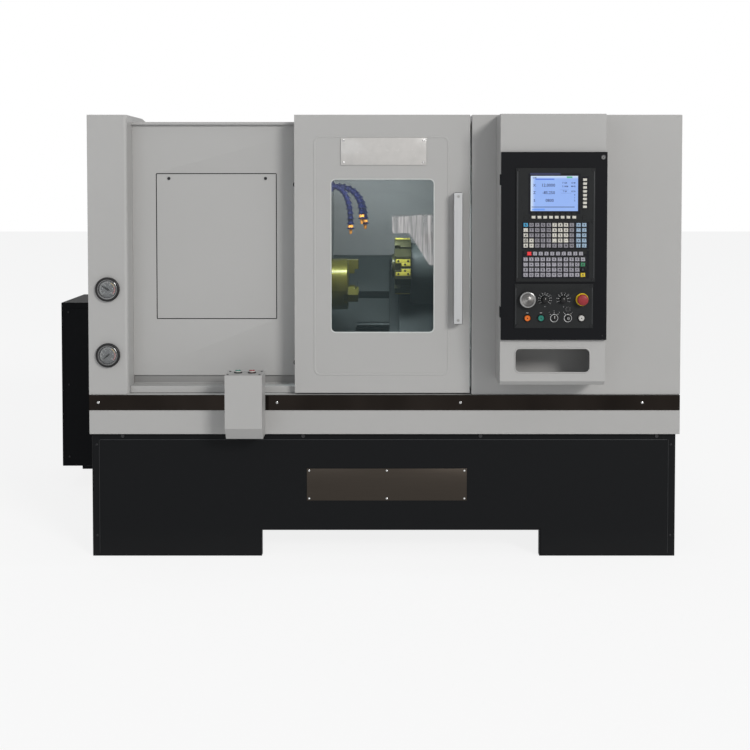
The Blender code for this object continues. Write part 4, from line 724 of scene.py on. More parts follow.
class Recipe(Graph):
    """A Geometry Nodes tree with named sizes, which ends in real geometry with its material."""

    kinds = {float: "Float", int: "Int", tuple: "Vector"}

    def __init__(self, name, sizes):
        super().__init__(bpy.data.node_groups.new(name, "GeometryNodeTree"))
        self.socket("Places", "Geometry")
        for size, value in sizes.items():
            self.socket(size, self.kinds[type(value)]).default_value = value
        self.socket("Finish", "Material")
        self.socket("Pieces", "Geometry", "OUTPUT")
        self.given = self.tree.nodes.new("NodeGroupInput")

    def socket(self, name, kind, way="INPUT"):
        return self.tree.interface.new_socket(name, in_out=way, socket_type=f"NodeSocket{kind}")

    def size(self, name):
        return Tone(self, self.given.outputs[name])

    def vector(self, x, y, z):
        return self.node("ShaderNodeCombineXYZ", {}, [x, y, z])

    def make(self, kind, **values):
        """A geometry node, with its sockets' names in lower case and underlines for spaces."""
        named = {name.replace("_", " ").title(): value for name, value in values.items()}
        return self.node(f"GeometryNode{kind}", {}, named)

    def cut(self, body, tool):
        meshes = {"Mesh 1": body, "Mesh 2": tool}
        return self.node("GeometryNodeMeshBoolean", {"operation": "DIFFERENCE"}, meshes)

    def moved(self, geometry, place=None, turn=None, scale=None):
        return self.make("Transform", geometry=geometry, translation=place, rotation=turn, scale=scale)

    def dome(self, radius, height):
        ball = self.make("MeshUVSphere", segments=20, rings=10, radius=radius)
        return self.moved(ball, scale=self.vector(1.0, 1.0, height / radius))

    def together(self, *parts):
        made = self.tree.nodes.new("GeometryNodeJoinGeometry")
        for part in parts:
            self.tree.links.new(part.socket, made.inputs[0])
        return Tone(self, made.outputs[0])

    def attribute(self, name):
        return self.node("GeometryNodeInputNamedAttribute", {"data_type": "FLOAT_VECTOR"}, {"Name": name})

    def set_on_places(self, instance, places=None, scale=None, facing=None):
        turn = self.node("FunctionNodeAlignRotationToVector", {"axis": "Z"},
                         {"Vector": facing or self.attribute("facing")})
        return self.make("InstanceOnPoints", points=places or self.size("Places"), instance=instance,
                         rotation=turn, scale=scale)

    def close(self, geometry):
        real = self.make("RealizeInstances", geometry=geometry)
        painted = self.make("SetMaterial", geometry=real, material=self.size("Finish"))
        output = self.tree.nodes.new("NodeGroupOutput")
        self.tree.links.new(painted.socket, output.inputs[0])
        return self

    def build(self, name, source, body, finish, sizes=None, sharp=35):
        """Runs the tree on a mesh of places or on a curve, and keeps the result as a plain mesh."""
        given = {"Finish": finish, **(sizes or {})}
        holder = placed("scrap", source or bpy.data.meshes.new("nothing"))
        modifier = holder.modifiers.new("recipe", "NODES")
        modifier.node_group = self.tree
        for item in self.tree.interface.items_tree:
            if item.in_out == "INPUT" and item.name in given:
                modifier[item.identifier] = given[item.name]
        mesh = plain_mesh(holder)
        for attribute in [a.name for a in mesh.attributes if a.name in ("facing", "span")]:
            mesh.attributes.remove(mesh.attributes[attribute])
        return keep(name, mesh, body, finish, sharp)


def places(points, spans=None):
    """A mesh of points, each with the way that it faces and, where given, its size."""
    mesh = bpy.data.meshes.new("places")
    mesh.from_pydata([tuple(point) for point, _ in points], [], [])
    for name, values in (("facing", [way for _, way in points]), ("span", spans or [])):
        if values:
            layer = mesh.attributes.new(name, "FLOAT_VECTOR", "POINT")
            for k, value in enumerate(values):
                layer.data[k].vector = value
    return mesh


def socket_screw_recipe():
    r = Recipe("socket_screws", {"Head radius": 0.004, "Head height": 0.003, "Socket radius": 0.002,
                                 "Socket depth": 0.0015, "Sides": 6})
    radius, height = r.size("Head radius"), r.size("Head height")
    head = r.make("MeshCone", vertices=20, radius_top=radius * 0.86, radius_bottom=radius, depth=height)
    hole = r.make("MeshCylinder", vertices=r.size("Sides"), radius=r.size("Socket radius"),
                  depth=r.size("Socket depth") * 2)
    return r.close(r.set_on_places(r.cut(head, r.moved(hole, r.vector(0.0, 0.0, height)))))


def cross_screw_recipe():
    r = Recipe("cross_screws", {"Head radius": 0.004, "Head height": 0.0022, "Slot width": 0.0009,
                                "Slot depth": 0.0010})
    radius, height = r.size("Head radius"), r.size("Head height")
    head = r.dome(radius, height)
    for turn in (0.0, math.pi / 2):
        bar = r.make("MeshCube", size=r.vector(radius * 1.1, r.size("Slot width"), r.size("Slot depth") * 2))
        head = r.cut(head, r.moved(bar, r.vector(0.0, 0.0, height), (0.0, 0.0, turn)))
    return r.close(r.set_on_places(head))


def rivet_recipe():
    r = Recipe("rivets", {"Head radius": 0.004, "Head height": 0.002})
    return r.close(r.set_on_places(r.dome(r.size("Head radius"), r.size("Head height"))))


def key_recipe():
    """Key caps: a skirt and a crown that draws in, sized by each place's own span."""
    r = Recipe("key_caps", {"Key height": 0.0026, "Crown share": 0.80, "Skirt share": 0.45})
    height = r.size("Key height")
    skirt = height * r.size("Skirt share")
    half = math.sqrt(0.5)
    low = r.make("MeshCone", vertices=4, radius_top=half * 0.97, radius_bottom=half, depth=skirt)
    high = r.make("MeshCone", vertices=4, radius_top=half * r.size("Crown share"), radius_bottom=half * 0.97,
                  depth=height - skirt)
    high = r.moved(high, r.vector(0.0, 0.0, skirt))
    cap = r.moved(r.together(low, high), turn=(0.0, 0.0, math.pi / 4))
    return r.close(r.set_on_places(cap, scale=r.attribute("span")))


def tick_recipe():
    """Marks on an arc of a front face, each a thin bar that points at the middle."""
    r = Recipe("dial_ticks", {"Centre": (0.0, 0.0, 0.0), "Radius": 0.02, "Start": 0.0, "Sweep": 1.0, "Count": 8,
                              "Tick length": 0.003, "Tick width": 0.0006, "Tick thickness": 0.0003})
    angle = r.size("Start") + r.size("Sweep") * r.make("InputIndex") / (r.size("Count") - 1)
    reach = r.size("Radius")
    spot = r.vector(r.math("COSINE", angle) * reach, 0.0, r.math("SINE", angle) * reach)
    spot = r.node("ShaderNodeVectorMath", {"operation": "ADD"}, [spot, r.size("Centre")])
    points = r.make("Points", count=r.size("Count"), position=spot)
    size = r.vector(r.size("Tick length"), r.size("Tick thickness"), r.size("Tick width"))
    turn = r.vector(0.0, 0 - angle, 0.0)
    bar = r.make("MeshCube", size=size)
    return r.close(r.make("InstanceOnPoints", points=points, instance=bar, rotation=turn))


def joint_recipe():
    """A jointed hose: a ball and a flared socket at each step along a curve."""
    r = Recipe("hose_joints", {"Joint radius": 0.0145, "Joint pitch": 0.0200})
    radius, pitch = r.size("Joint radius"), r.size("Joint pitch")
    line = r.node("GeometryNodeResampleCurve", {"mode": "LENGTH"}, {"Curve": r.size("Places"), "Length": pitch})
    ball = r.make("MeshUVSphere", segments=16, rings=10, radius=radius * 0.70)
    cup = r.make("MeshCone", vertices=16, radius_top=radius, radius_bottom=radius * 0.56, depth=pitch * 0.55)
    lip = r.make("MeshCylinder", vertices=16, radius=radius * 1.06, depth=pitch * 0.16)
    cup = r.moved(cup, r.vector(0.0, 0.0, pitch * 0.05))
    lip = r.moved(lip, r.vector(0.0, 0.0, pitch * 0.58))
    return r.close(r.set_on_places(r.together(ball, cup, lip), line, facing=r.make("InputTangent")))


def louvre_recipe():
    """A column of pressed louvres on a flat face, each a tilted blade with closed ends."""
    r = Recipe("louvres", {"Count": 8, "Pitch": 0.02, "Blade": (0.2, 0.006, 0.0012), "Tilt": 0.7,
                           "Start place": (0.0, 0.0, 0.0)})
    line = r.make("MeshLine", count=r.size("Count"), start_location=r.size("Start place"),
                  offset=r.vector(0.0, 0.0, r.size("Pitch")))
    blade = r.moved(r.make("MeshCube", size=r.size("Blade")), turn=r.vector(r.size("Tilt"), 0.0, 0.0))
    return r.close(r.make("InstanceOnPoints", points=line, instance=blade))


SOCKET_SCREWS = socket_screw_recipe()
CROSS_SCREWS = cross_screw_recipe()
RIVETS = rivet_recipe()
KEY_CAPS = key_recipe()
TICKS = tick_recipe()
HOSE_JOINTS = joint_recipe()
LOUVRES = louvre_recipe()


def socket_screws(name, points, body, finish, radius, height):
    return SOCKET_SCREWS.build(name, places(points), body, finish, {
        "Head radius": radius, "Head height": height, "Socket radius": radius * 0.5,
        "Socket depth": height * 0.6})


def cross_screws(name, points, body, finish, radius, height):
    return CROSS_SCREWS.build(name, places(points), body, finish, {
        "Head radius": radius, "Head height": height, "Slot width": radius * 0.22, "Slot depth": height * 0.5})


def ticks(name, centre, body, finish, radius, start, end, count, length, width, thick=0.0003):
    return TICKS.build(name, None, body, finish, {
        "Centre": tuple(centre), "Radius": radius, "Start": math.radians(start),
        "Sweep": math.radians(end - start), "Count": count, "Tick length": length, "Tick width": width,
        "Tick thickness": thick})


# Carried nodes: every one gets its finish, and the folded or machined ones get rounded edges

slot_of = {row["node"]: row["material_slot"] for row in frame["record"]["subparts"]}
for node, obj in frame["nodes"].items():
    obj.data.materials.clear()
    obj.data.materials.append(SLOT_FINISH[slot_of[node]])
for node, finish in (("z_screw", SLIDE), ("x_screw", SLIDE), ("door_roller_left", GROUND),
                     ("door_roller_right", GROUND), ("key_switch", BLACK_CAP), ("pod_lock", LOCK_ZINC)):
    frame["nodes"][node].data.materials[0] = finish

for node, edge in (
    ("base", 0.0025), ("apron_frame", 0.002), ("right_cover", 0.0028),
    ("roof_cover", 0.0015), ("rear_cover", 0.0015), ("headstock_cover", 0.001), ("access_panel", 0.0012),
    ("door_panel", 0.0022), ("pod_housing", 0.0010), ("button_box", 0.0018),
    ("electrical_cabinet", 0.002), ("cabinet_door", 0.002), ("coolant_tank", 0.0015),
    ("headstock", 0.006), ("spindle_motor", 0.004), ("slant_bed", 0.003), ("turret_housing", 0.003),
    ("x_servo", 0.005), ("z_servo", 0.005),
    ("door_handle", 0.0035), ("operator_panel", 0.0008), ("cnc_unit", 0.0004),
):
    dressed(node, edge)
column_low, column_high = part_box("left_end_cover")
dressed("left_end_cover", 0.0028, wide=(column_high.x, column_low.y, 0.010))
for node, edge, finish in (
    ("door_rail_bottom", 0.002, RAIL), ("hydraulic_unit", 0.002, SHADED_UNIT_BLACK), ("pod_door", 0.0012, POD_BLACK),
    ("turret_disc", 0.0012, DISC), ("saddle", 0.0015, SLIDE), ("cross_slide", 0.0015, SLIDE),
    ("jaw_1", 0.0012, None), ("jaw_2", 0.0012, None), ("jaw_3", 0.0012, None), ("chuck_body", 0.0008, None),
):
    dressed(node, edge, finish)


# Sliding door: name plate left bare, pressed outline, window gasket, buffers and handle

BUFFER_RISES = (0.7932, 0.1135)        # the rubber buffers' heights above the door's lower edge


def add_door_details():
    y = door_low.y
    pressing = bead_round((door_low.x + 0.076, door_low.z + 0.070), (door_low.x + 0.5835, door_high.z - 0.084),
                          0.022, y, half_round(0.0085, 0.0013))
    shaped("door_pressing", pressing, "door", WHITE, 80)
    inset = Vector((0.016, 0, 0.016))        # the part of the pane that the gasket covers
    pane_corner, pane_end = pane_low + inset, pane_high - inset
    profile = mm((2.2, 0), (1.8, 1), (0.6, 1.4), (-1.2, 1.2), (-2, 0.2), (-2, -3.6), (-0.2, -3.6), (-0.2, -0.2),
                 (2.2, -0.2))
    gasket = bead_round(pane_corner.xz, pane_end.xz, 0.018, y, profile, 10)
    shaped("window_gasket", gasket, "door", GASKET, 50)
    plate_left, plate_top = door_low.x + 0.176, door_high.z - 0.087
    plate_low = Vector((plate_left, y - 0.0042, plate_top - 0.103))
    plate_high = Vector((plate_left + 0.324, y - 0.0015, plate_top))
    shaped("door_plate", block(plate_low, plate_high, 0.0009), "door", PLATE_CLEAR)
    corners = spread(FRONT, rows(plate_low.x, plate_high.x, 0.011), plate_low.y,
                     rows(plate_low.z, plate_high.z, 0.010))
    stud = mm((-0.1, 0), (-0.1, 3.5), (-1.6, 3.5), (-1.6, 0))
    studs = [turned(stud, FRONT, at_depth(place, y - 0.0016), 16) for place, _ in corners]
    shaped("door_plate_spacers", studs, "door", ZINC)
    cross_screws("door_plate_screws", corners, "door", CHROME, 0.0042, 0.0022)
    buffer = mm((-0.5, 0), (-0.5, 8.5), (2.2, 8.5), (4.8, 6.6), (5.8, 3), (6, 0))
    buffers = [turned(buffer, LEFT, Vector((door_low.x, y + 0.020, door_low.z + rise)), 28)
               for rise in BUFFER_RISES]
    shaped("door_buffers", buffers, "door", RUBBER)
    low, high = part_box("door_handle")
    left, right = rows(low.x, high.x, 0.004)
    ends = [block((left, low.y + 0.003, z - 0.0008), (right, low.y + 0.019, z + 0.0008), 0.0006)
            for z in (low.z, high.z)]
    shaped("handle_end_plates", ends, "door", BLACK_CAP)
    screws = spread(FRONT, (low.x + high.x) / 2, low.y, rows(low.z, high.z, 0.015))
    socket_screws("handle_screws", screws, "door", ZINC, 0.0052, 0.0010)


add_door_details()


# Covers: panel screws, the access panel's seal and the roof's fixings

ROOF_DROP = 0.117        # how far the roof falls from its front edge to its back
ROOF_DEPTH = 1.1497
ROOF_FRONT = 0.100       # its front edge, behind the door's face


def add_cover_details():
    low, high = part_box("access_panel")
    profile = mm((2.2, 0), (2.2, 0.7), (0.4, 0.9), (-1, 0.7), (-1, 0), (0, -0.3))
    shaped("access_seal", bead_round(low.xz, high.xz, 0.0015, low.y, profile, 2), "root", RUBBER, 40)
    screws = spread(FRONT, (low.x + 0.048, high.x - 0.041), low.y, high.z - 0.018)
    socket_screws("access_screws", screws, "root", DARK_BOLT, 0.0062, 0.0030)
    low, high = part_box("roof_cover")
    fall = math.atan2(ROOF_DROP, ROOF_DEPTH)
    screws = []
    for x in rows(low.x, high.x, 0.05, 6):
        for share in (0.06, 0.94):
            place = Vector((x, ORIGIN.y + ROOF_FRONT + ROOF_DEPTH * share, high.z - ROOF_DROP * share - 0.0004))
            screws.append((place, Vector((0, math.sin(fall), math.cos(fall)))))
    cross_screws("roof_screws", screws, "root", ZINC, 0.0060, 0.0028)
    low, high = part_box("rear_cover")
    screws = spread(BACK, rows(low.x, high.x, 0.03, 5), high.y, rows(low.z, high.z, 0.025, 3))
    cross_screws("rear_screws", screws, "root", ZINC, 0.0060, 0.0025)
    low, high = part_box("trim_strip")
    across = [ORIGIN.x + x for x in (-1.090, -0.410, 0.289, 0.981)]
    screws = spread(FRONT, across, low.y, (low.z + high.z) / 2)
    cross_screws("trim_screws", screws, "root", CHROME, 0.0054, 0.0026)


add_cover_details()


# Base: folded face, bolts and the plate left bare

NOTCH_LEFT, NOTCH_RIGHT, NOTCH_TOP = -0.471, 0.594, 0.106        # the gap for a truck's forks, from the middle


def add_base_details():
    low, high = base_low, base_high
    y = low.y
    left, right = low.x + 0.028, high.x - 0.028
    gap_left, gap_right = ORIGIN.x + NOTCH_LEFT - 0.006, ORIGIN.x + NOTCH_RIGHT + 0.006
    bottom, top = 0.006, high.z - 0.0265
    outline = [(left, bottom), (gap_left, bottom), (gap_left, NOTCH_TOP), (gap_right, NOTCH_TOP),
               (gap_right, bottom), (right, bottom), (right, top), (left, top)]
    sides = [[(x, y - 0.0022, z) for x, z in outline], [(x, y + 0.0004, z) for x, z in outline]]
    round_edges(shaped("base_front_sheet", loft(sides, False), "root", BLACK), 0.0014)
    # painted highlight: grey strips along the black sheet's folds stand for the light that the fold edges catch
    fold_highlights = [block((left + 0.004, y - 0.0030, top - 0.0006), (right - 0.004, y - 0.0004, top + 0.0012), 0.0006)]
    for x in (left, right):
        fold_highlights.append(block((x - 0.0006, y - 0.0028, 0.012), (x + 0.0006, y - 0.0004, top), 0.0005))
    shaped("base_fold_highlights", fold_highlights, "root", RIDGE)
    across = [ORIGIN.x + x for x in (-1.003, -0.312, 0.367, 1.042)]
    socket_screws("base_bolts", spread(FRONT, across, y, high.z - 0.0120), "root", FLAT_BOLT, 0.0075, 0.0036)
    rises = (0.080, high.z - 0.046)
    cross_screws("base_front_screws", spread(FRONT, rows(low.x, high.x, 0.0180), y, rises), "root", DARK_BOLT,
                 0.0050, 0.0022)
    depths = [y + 0.06 + 1.10 * k / 3 for k in range(4)]
    screws = spread(LEFT, low.x, depths, rises) + spread(RIGHT, high.x, depths, rises)
    cross_screws("base_side_screws", screws, "root", DARK_BOLT, 0.0060, 0.0026)
    plate_low = Vector((ORIGIN.x - 0.298, y - 0.0040, 0.216))
    plate_high = Vector((ORIGIN.x + 0.315, y - 0.0018, 0.3395))
    shaped("base_plate", block(plate_low, plate_high, 0.0006), "root", PLATE)
    points = spread(FRONT, rows(plate_low.x, plate_high.x, 0.009, 3), plate_low.y,
                    rows(plate_low.z, plate_high.z, 0.008))
    sizes = {"Head radius": 0.0044, "Head height": 0.0024}
    RIVETS.build("base_plate_rivets", places(points), "root", CHROME, sizes)


add_base_details()


# Pressure gauges: card, scale, coloured arcs, numbers, ring and lens

def add_gauge(level):
    node = f"gauge_{level}"
    centre = middle_of(node)
    face = at_depth(centre, centre.y + 0.006)
    front = at_depth(centre, face.y - 0.0001)
    card = mm((0, 1.8), (0, 33.5), (0.1, 33.5), (0.1, 1.8))
    lathed(f"{node}_card", card, FRONT, face, "root", dial_card(f"{node}_card_paper", centre), 64)
    ticks(f"{node}_fine_scale", front, "root", PALE_INK, 0.0255, 225, -45, 41, 0.0022, 0.00045, 0.00016)
    ticks(f"{node}_scale", front, "root", PALE_INK, 0.0247, 225, -45, 9, 0.0042, 0.0010, 0.00020)
    shaped(f"{node}_arc", flat_arc(front, 0.0281, 0.0290, 225, -45, steps=40), "root", PALE_INK)
    shaped(f"{node}_yellow_arc", flat_arc(front, 0.0262, 0.0280, 62, 22), "root", YELLOW_INK)
    shaped(f"{node}_red_arc", flat_arc(front, 0.0262, 0.0280, 20, -40), "root", RED_INK)
    marks = [(str(k * 2), 0.0054, around(front, 0.0188, 225 - 54 * k)) for k in range(6)]
    lettering(f"{node}_numbers", marks, "root", PALE_INK, weight=0.0001)
    ring = mm((0.2, 32.8), (0.2, 36), (5.2, 36), (6.6, 36.6), (7, 37.4), (7.4, 36.6), (7.2, 34.4), (5, 33))
    lathed(f"{node}_ring", ring, FRONT, face, "root", GAUGE_RING, 72, 30)
    rim = mm((-0.2, 36.8), (1.2, 37.4), (2, 39), (1.8, 42.8), (0.8, 45), (-0.6, 46), (-3.4, 46), (-3.4, 36.8))
    lathed(f"{node}_rim", rim, FRONT, centre, "root", GAUGE_CASE, 72, 50)
    lens = mm((4.8, 0), (4.8, 33.6), (6, 33.6), (6.6, 20), (6.8, 0))
    lathed(f"{node}_lens", lens, FRONT, face, "root", LENS, 64, 60)
    hub = mm((1.9, 0), (1.9, 3), (3.2, 2.6), (3.4, 0))
    lathed(f"{node}_hub", hub, FRONT, face, f"gauge_pointer_{level}", BLACK_CAP, 24)


for level in ("upper", "lower"):
    add_gauge(level)


# Control unit: keypad films, key caps, legends, frame ridges and screws

unit_low, unit_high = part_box("cnc_unit")
UNIT_FACE = unit_low.y + 0.0022


def key_field():
    """Every key's middle, size, colour and legend, by its place on the unit."""
    pitch_x, pitch_z = 0.0209, 0.0189
    left = unit_low.x + 0.0350
    top = unit_high.z - 0.2065
    digits = iter("789456123.0-")
    letter = iter("OPQRSTUVWXYZABCDEFGHIJKLMN")
    for row in range(5):
        for column in range(11):
            x = left + column * pitch_x + (0.0035 if column > 8 else 0.0)
            if column == 0:
                look, text = (KEY_CYAN if row == 0 else KEY_PALE), "%;#@&"[row]
            elif column == 1 and row > 2:
                look, text = KEY_PALE, "<>"[row - 3]
            elif column < 5:
                look, text = KEY_GREY, next(letter)
            elif column < 8 and row < 4:
                look, text = KEY_PALE, next(digits)
            elif column < 9:
                look, text = KEY_GREY, next(letter, "=")
            else:
                look, text = KEY_BLUE, "=+*/:<>^()"[row * 2 + column - 9]
            yield x, top - row * pitch_z, 0.0168, 0.0150, look, text
    for column in range(10):
        x = unit_low.x + 0.0480 + column * pitch_x
        look = LAMP_RED if column == 0 else KEY_MODE
        yield x, unit_high.z - 0.3109, 0.0162, 0.0142, look, "I" if column else ""
    for row in range(4):
        z = unit_high.z - 0.3319 - row * pitch_z
        for column in range(11):
            x = left + column * 0.0207 + (0.0014 if column > 6 else 0.0)
            look, text = KEY_MODE, "1234567890+-=<>/*XYZCABSF%#TMGKHRLOPQUVW"[(row * 11 + column) % 40]
            if column == 10:
                look = (KEY_MODE, KEY_GREEN, KEYPAD, KEY_YELLOW)[row]
            yield x, z, 0.0168, 0.0150, look, text
    for k in range(8):
        yield unit_low.x + 0.2495, unit_high.z - 0.0426 - k * 0.0140, 0.0148, 0.0098, KEY_PALE, ""
        yield unit_low.x + 0.0630 + k * 0.0211, unit_high.z - 0.1787, 0.0150, 0.0104, KEY_PALE, ""


def add_keys():
    by_look = {}
    marks = []
    for x, z, width, height, look, text in key_field():
        points, spans = by_look.setdefault(look.name, ([], []))
        points.append((Vector((x, UNIT_FACE - 0.0002, z)), FRONT))
        spans.append((width, height, 1.0))
        if text:
            marks.append((text, 0.0108, (x, UNIT_FACE - 0.0032, z)))
    for look, (points, spans) in by_look.items():
        KEY_CAPS.build(f"keys_{look}", places(points, spans), "pod_door", bpy.data.materials[look],
                       {"Key height": 0.0029}, 25)
    lettering("key_legends", marks, "pod_door", INK, 0.0003, 0.00045)


def add_ridges(name, low, high, face, inset, half, proud, end, edge):
    """Two upright ridges on a front face, beside its left and right edges."""
    ridges = [block((x - half, face - proud, low.z + end), (x + half, face + 0.0003, high.z - end), edge)
              for x in rows(low.x, high.x, inset)]
    shaped(name, ridges, "pod_door", RIDGE)


def add_unit_details():
    face = UNIT_FACE
    films = []
    for left, bottom, right, top in (
        (0.0215, 0.0124, 0.2660, 0.1125), (0.0215, 0.1185, 0.2660, 0.2178), (0.2375, 0.2625, 0.2620, 0.3830),
    ):
        films.append(block((unit_low.x + left, face - 0.0004, unit_low.z + bottom),
                           (unit_low.x + right, face + 0.0003, unit_low.z + top), 0.0002, 1))
    hole = (screen_low.x - 0.0002, screen_low.z - 0.0002, screen_high.x + 0.0002, screen_high.z + 0.0002)
    outer = (unit_low.x + 0.0445, unit_low.z + 0.2460, unit_low.x + 0.2330, unit_low.z + 0.3930)
    for left, bottom, right, top in (
        (outer[0], outer[1], outer[2], hole[1]), (outer[0], hole[3], outer[2], outer[3]),
        (outer[0], hole[1], hole[0], hole[3]), (hole[2], hole[1], outer[2], hole[3]),
    ):
        films.append(block((left, face - 0.0005, bottom), (right, face + 0.0003, top)))
    shaped("keypad_films", films, "pod_door", KEYPAD)
    add_ridges("unit_frame_ridges", unit_low, unit_high, face, 0.0050, 0.0016, 0.0016, 0.012, 0.0007)
    rises = (unit_low.z + 0.0075, (unit_low.z + unit_high.z) / 2 + 0.012, unit_high.z - 0.0075)
    socket_screws("unit_screws", spread(FRONT, rows(unit_low.x, unit_high.x, 0.0085), face, rises), "pod_door",
                  DARK_BOLT, 0.0036, 0.0022)
    bead = mm((3.2, 0), (3, 1.2), (1.2, 1.8), (-0.2, 0.6), (-0.2, -0.2), (3.2, -0.2))
    bezel = bead_round(screen_low.xz, screen_high.xz, 0.0015, face, bead, 4)
    shaped("screen_bezel", bezel, "pod_door", BLACK_CAP, 40)
    marks = []
    width, height = (screen_high - screen_low).xz
    for text, size, across, rise in (
        ("X", 0.013, 0.08, 0.73), ("12.0000", 0.0155, 0.37, 0.73), ("Z", 0.013, 0.08, 0.52),
        ("-85.250", 0.0150, 0.38, 0.52), ("S", 0.013, 0.08, 0.30), ("0800", 0.0150, 0.40, 0.30),
        ("F 120", 0.0075, 0.72, 0.80), ("S 100%", 0.0075, 0.73, 0.70), ("T 03", 0.0075, 0.72, 0.56),
        ("G 00", 0.0075, 0.90, 0.80), ("M 05", 0.0075, 0.90, 0.70), ("G 54", 0.0075, 0.90, 0.56),
        ("0", 0.0075, 0.93, 0.46), ("1", 0.0075, 0.93, 0.38), ("2", 0.0075, 0.93, 0.30),
        ("12:30", 0.0065, 0.08, 0.945),
    ):
        place = (screen_low.x + width * across, screen_low.y - 0.0002, screen_low.z + height * rise)
        marks.append((text, size, place))
    lettering("screen_readings", marks, "pod_door", SCREEN_INK, weight=0.0002)
    strip = block((screen_low.x - 0.002, face - 0.0010, screen_high.z + 0.0030),
                  (screen_low.x + 0.108, face, screen_high.z + 0.0105), 0.0002, 1)
    shaped("screen_name_strip", strip, "pod_door", NAVY)


add_keys()
add_unit_details()


# Operator's panel: rings, scales, legends and the round parts' own details

console_low, console_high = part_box("operator_panel")
CONSOLE_FACE = console_low.y
console = {node: middle_of(node, CONSOLE_FACE) for node in (
    "feed_knob", "speed_knob", "emergency_stop", "mode_selector", "key_switch", "orange_button", "green_button",
    "white_button")}


def add_collars(name, nodes, outer, height, finish):
    """Rings with rounded rims that lie on the panel's face."""
    inner = 0.0117
    profile = [(-0.0002, inner), (-0.0002, outer), (height * 0.6, outer), (height, outer - height * 0.4),
               (height, inner + height * 0.3), (height * 0.7, inner)]
    shaped(name, [turned(profile, FRONT, console[node]) for node in nodes], "pod_door", finish)


def add_panel_marks():
    lift = FRONT * 0.00012
    for name, count, start, end, first in (("feed", 11, 215, -35, 0), ("speed", 8, 200, -20, 50)):
        spot = console[f"{name}_knob"] + lift
        ticks(f"{name}_dial_marks", spot, "pod_door", PALE_INK, 0.0175, start, end, count, 0.0050, 0.0011)
        marks = [(str(first + k * 10), 0.0036, around(spot, 0.0238, start + (end - start) * k / (count - 1)))
                 for k in range(count)]
        marks.append(("%", 0.0050, spot - UP * 0.0265))
        lettering(f"{name}_dial_numbers", marks, "pod_door", PALE_INK)
    for name, node, start, end, count, length, width in (
        ("selector_marks", "mode_selector", 135, 45, 3, 0.0040, 0.0011),
        ("switch_marks", "key_switch", 125, 55, 2, 0.0045, 0.0016),
    ):
        ticks(name, console[node] + lift, "pod_door", PALE_INK, 0.0195, start, end, count, length, width)
    legends = []
    for text, node, size, across, rise in (
        ("ON", "green_button", 0.0052, 0, 0.0185), ("OFF", "orange_button", 0.0052, 0, 0.0185),
        ("0", "key_switch", 0.0050, -0.0155, 0.0205), ("1", "key_switch", 0.0050, 0.0155, 0.0205),
        ("1", "mode_selector", 0.0050, -0.0185, 0.0200), ("2", "mode_selector", 0.0050, 0, 0.0255),
        ("3", "mode_selector", 0.0050, 0.0185, 0.0200),
    ):
        legends.append((text, size, console[node] + lift + RIGHT * across + UP * rise))
    lettering("panel_legends", legends, "pod_door", PALE_INK)


def add_console_details():
    add_panel_marks()
    add_collars("selector_collars", ("mode_selector", "key_switch"), 0.0152, 0.0030, CHROME)
    add_collars("button_collars", ("orange_button", "green_button", "white_button"), 0.0148, 0.0032, BLACK_CAP)
    ring = mm((-0.2, 11), (-0.2, 23.2), (4.8, 23.2), (6.6, 21.4), (6.6, 11))
    lathed("stop_yellow_ring", ring, FRONT, console["emergency_stop"], "pod_door", YELLOW, 56)
    screws = spread(FRONT, rows(console_low.x, console_high.x, 0.0085), CONSOLE_FACE,
                    rows(console_low.z, console_high.z, 0.0085))
    socket_screws("console_screws", screws, "pod_door", DARK_BOLT, 0.0036, 0.0022)
    add_ridges("console_ridges", console_low, console_high, CONSOLE_FACE, 0.0040, 0.0012, 0.0012, 0.014, 0.0005)
    add_wheel_details()
    add_knob_details("feed_knob")
    add_knob_details("speed_knob")
    add_stop_details()
    for node in ("orange_button", "green_button", "white_button"):
        add_button_face(node)
    tip = middle_of("mode_selector")
    pointer = block(tip + Vector((-0.0011, -0.0004, -0.0005)), tip + Vector((0.0011, 0.0005, 0.0088)), 0.0003)
    shaped("selector_pointer", pointer, "mode_selector", PALE)
    tip = middle_of("key_switch")
    barrel = mm((-0.3, 3), (-0.3, 4.6), (0.6, 4.4), (0.6, 3.2))
    lathed("key_switch_barrel", barrel, FRONT, tip, "key_switch", CHROME, 32)
    half = Vector((0.0006, 0.0003, 0.0026))
    shaped("key_switch_slot", block(tip - half, tip + half), "key_switch", ZINC)
    label = console["key_switch"] + UP * 0.0330
    disc = mm((-0.2, 0), (-0.2, 9.5), (0.3, 9.3), (0.3, 0))
    lathed("switch_label", disc, FRONT, label, "pod_door", GAUGE_CASE, 40)
    label += FRONT * 0.0004
    ticks("switch_label_marks", label, "pod_door", PALE_INK, 0.0078, 0, 330, 12, 0.0016, 0.0005)


def add_wheel_details():
    """The handwheel's polished rim, and its dished face with a ring of divisions."""
    front = middle_of("handwheel")
    rim = mm((-3, 29.2), (-1.2, 29), (0.2, 27.8), (0.8, 26.2), (0.4, 24.6), (-0.8, 23.8), (-3, 23.8))
    lathed("wheel_bright_rim", rim, FRONT, front, "handwheel", RIM, 72)
    spot = front + FRONT * 0.0001
    ticks("wheel_divisions", spot, "handwheel", INK, 0.0205, 0, 356.4, 100, 0.0026, 0.0003)
    ticks("wheel_tens", spot, "handwheel", INK, 0.0198, 0, 324, 10, 0.0042, 0.0007)
    hub = mm((-0.3, 0), (-0.3, 13), (1, 12.8), (1.6, 11.8), (1.6, 0))
    lathed("wheel_hub_cap", hub, FRONT, front, "handwheel", SPUN)
    body = mm((-18.8, 0), (-18.8, 26.2), (-16, 29), (-3, 29.8), (-1.2, 29.2), (-0.4, 27), (-0.2, 24), (-0.2, 0))
    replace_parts(lathed("wheel_body", body, FRONT, front, "handwheel", SPUN, 72, 50), "handwheel")


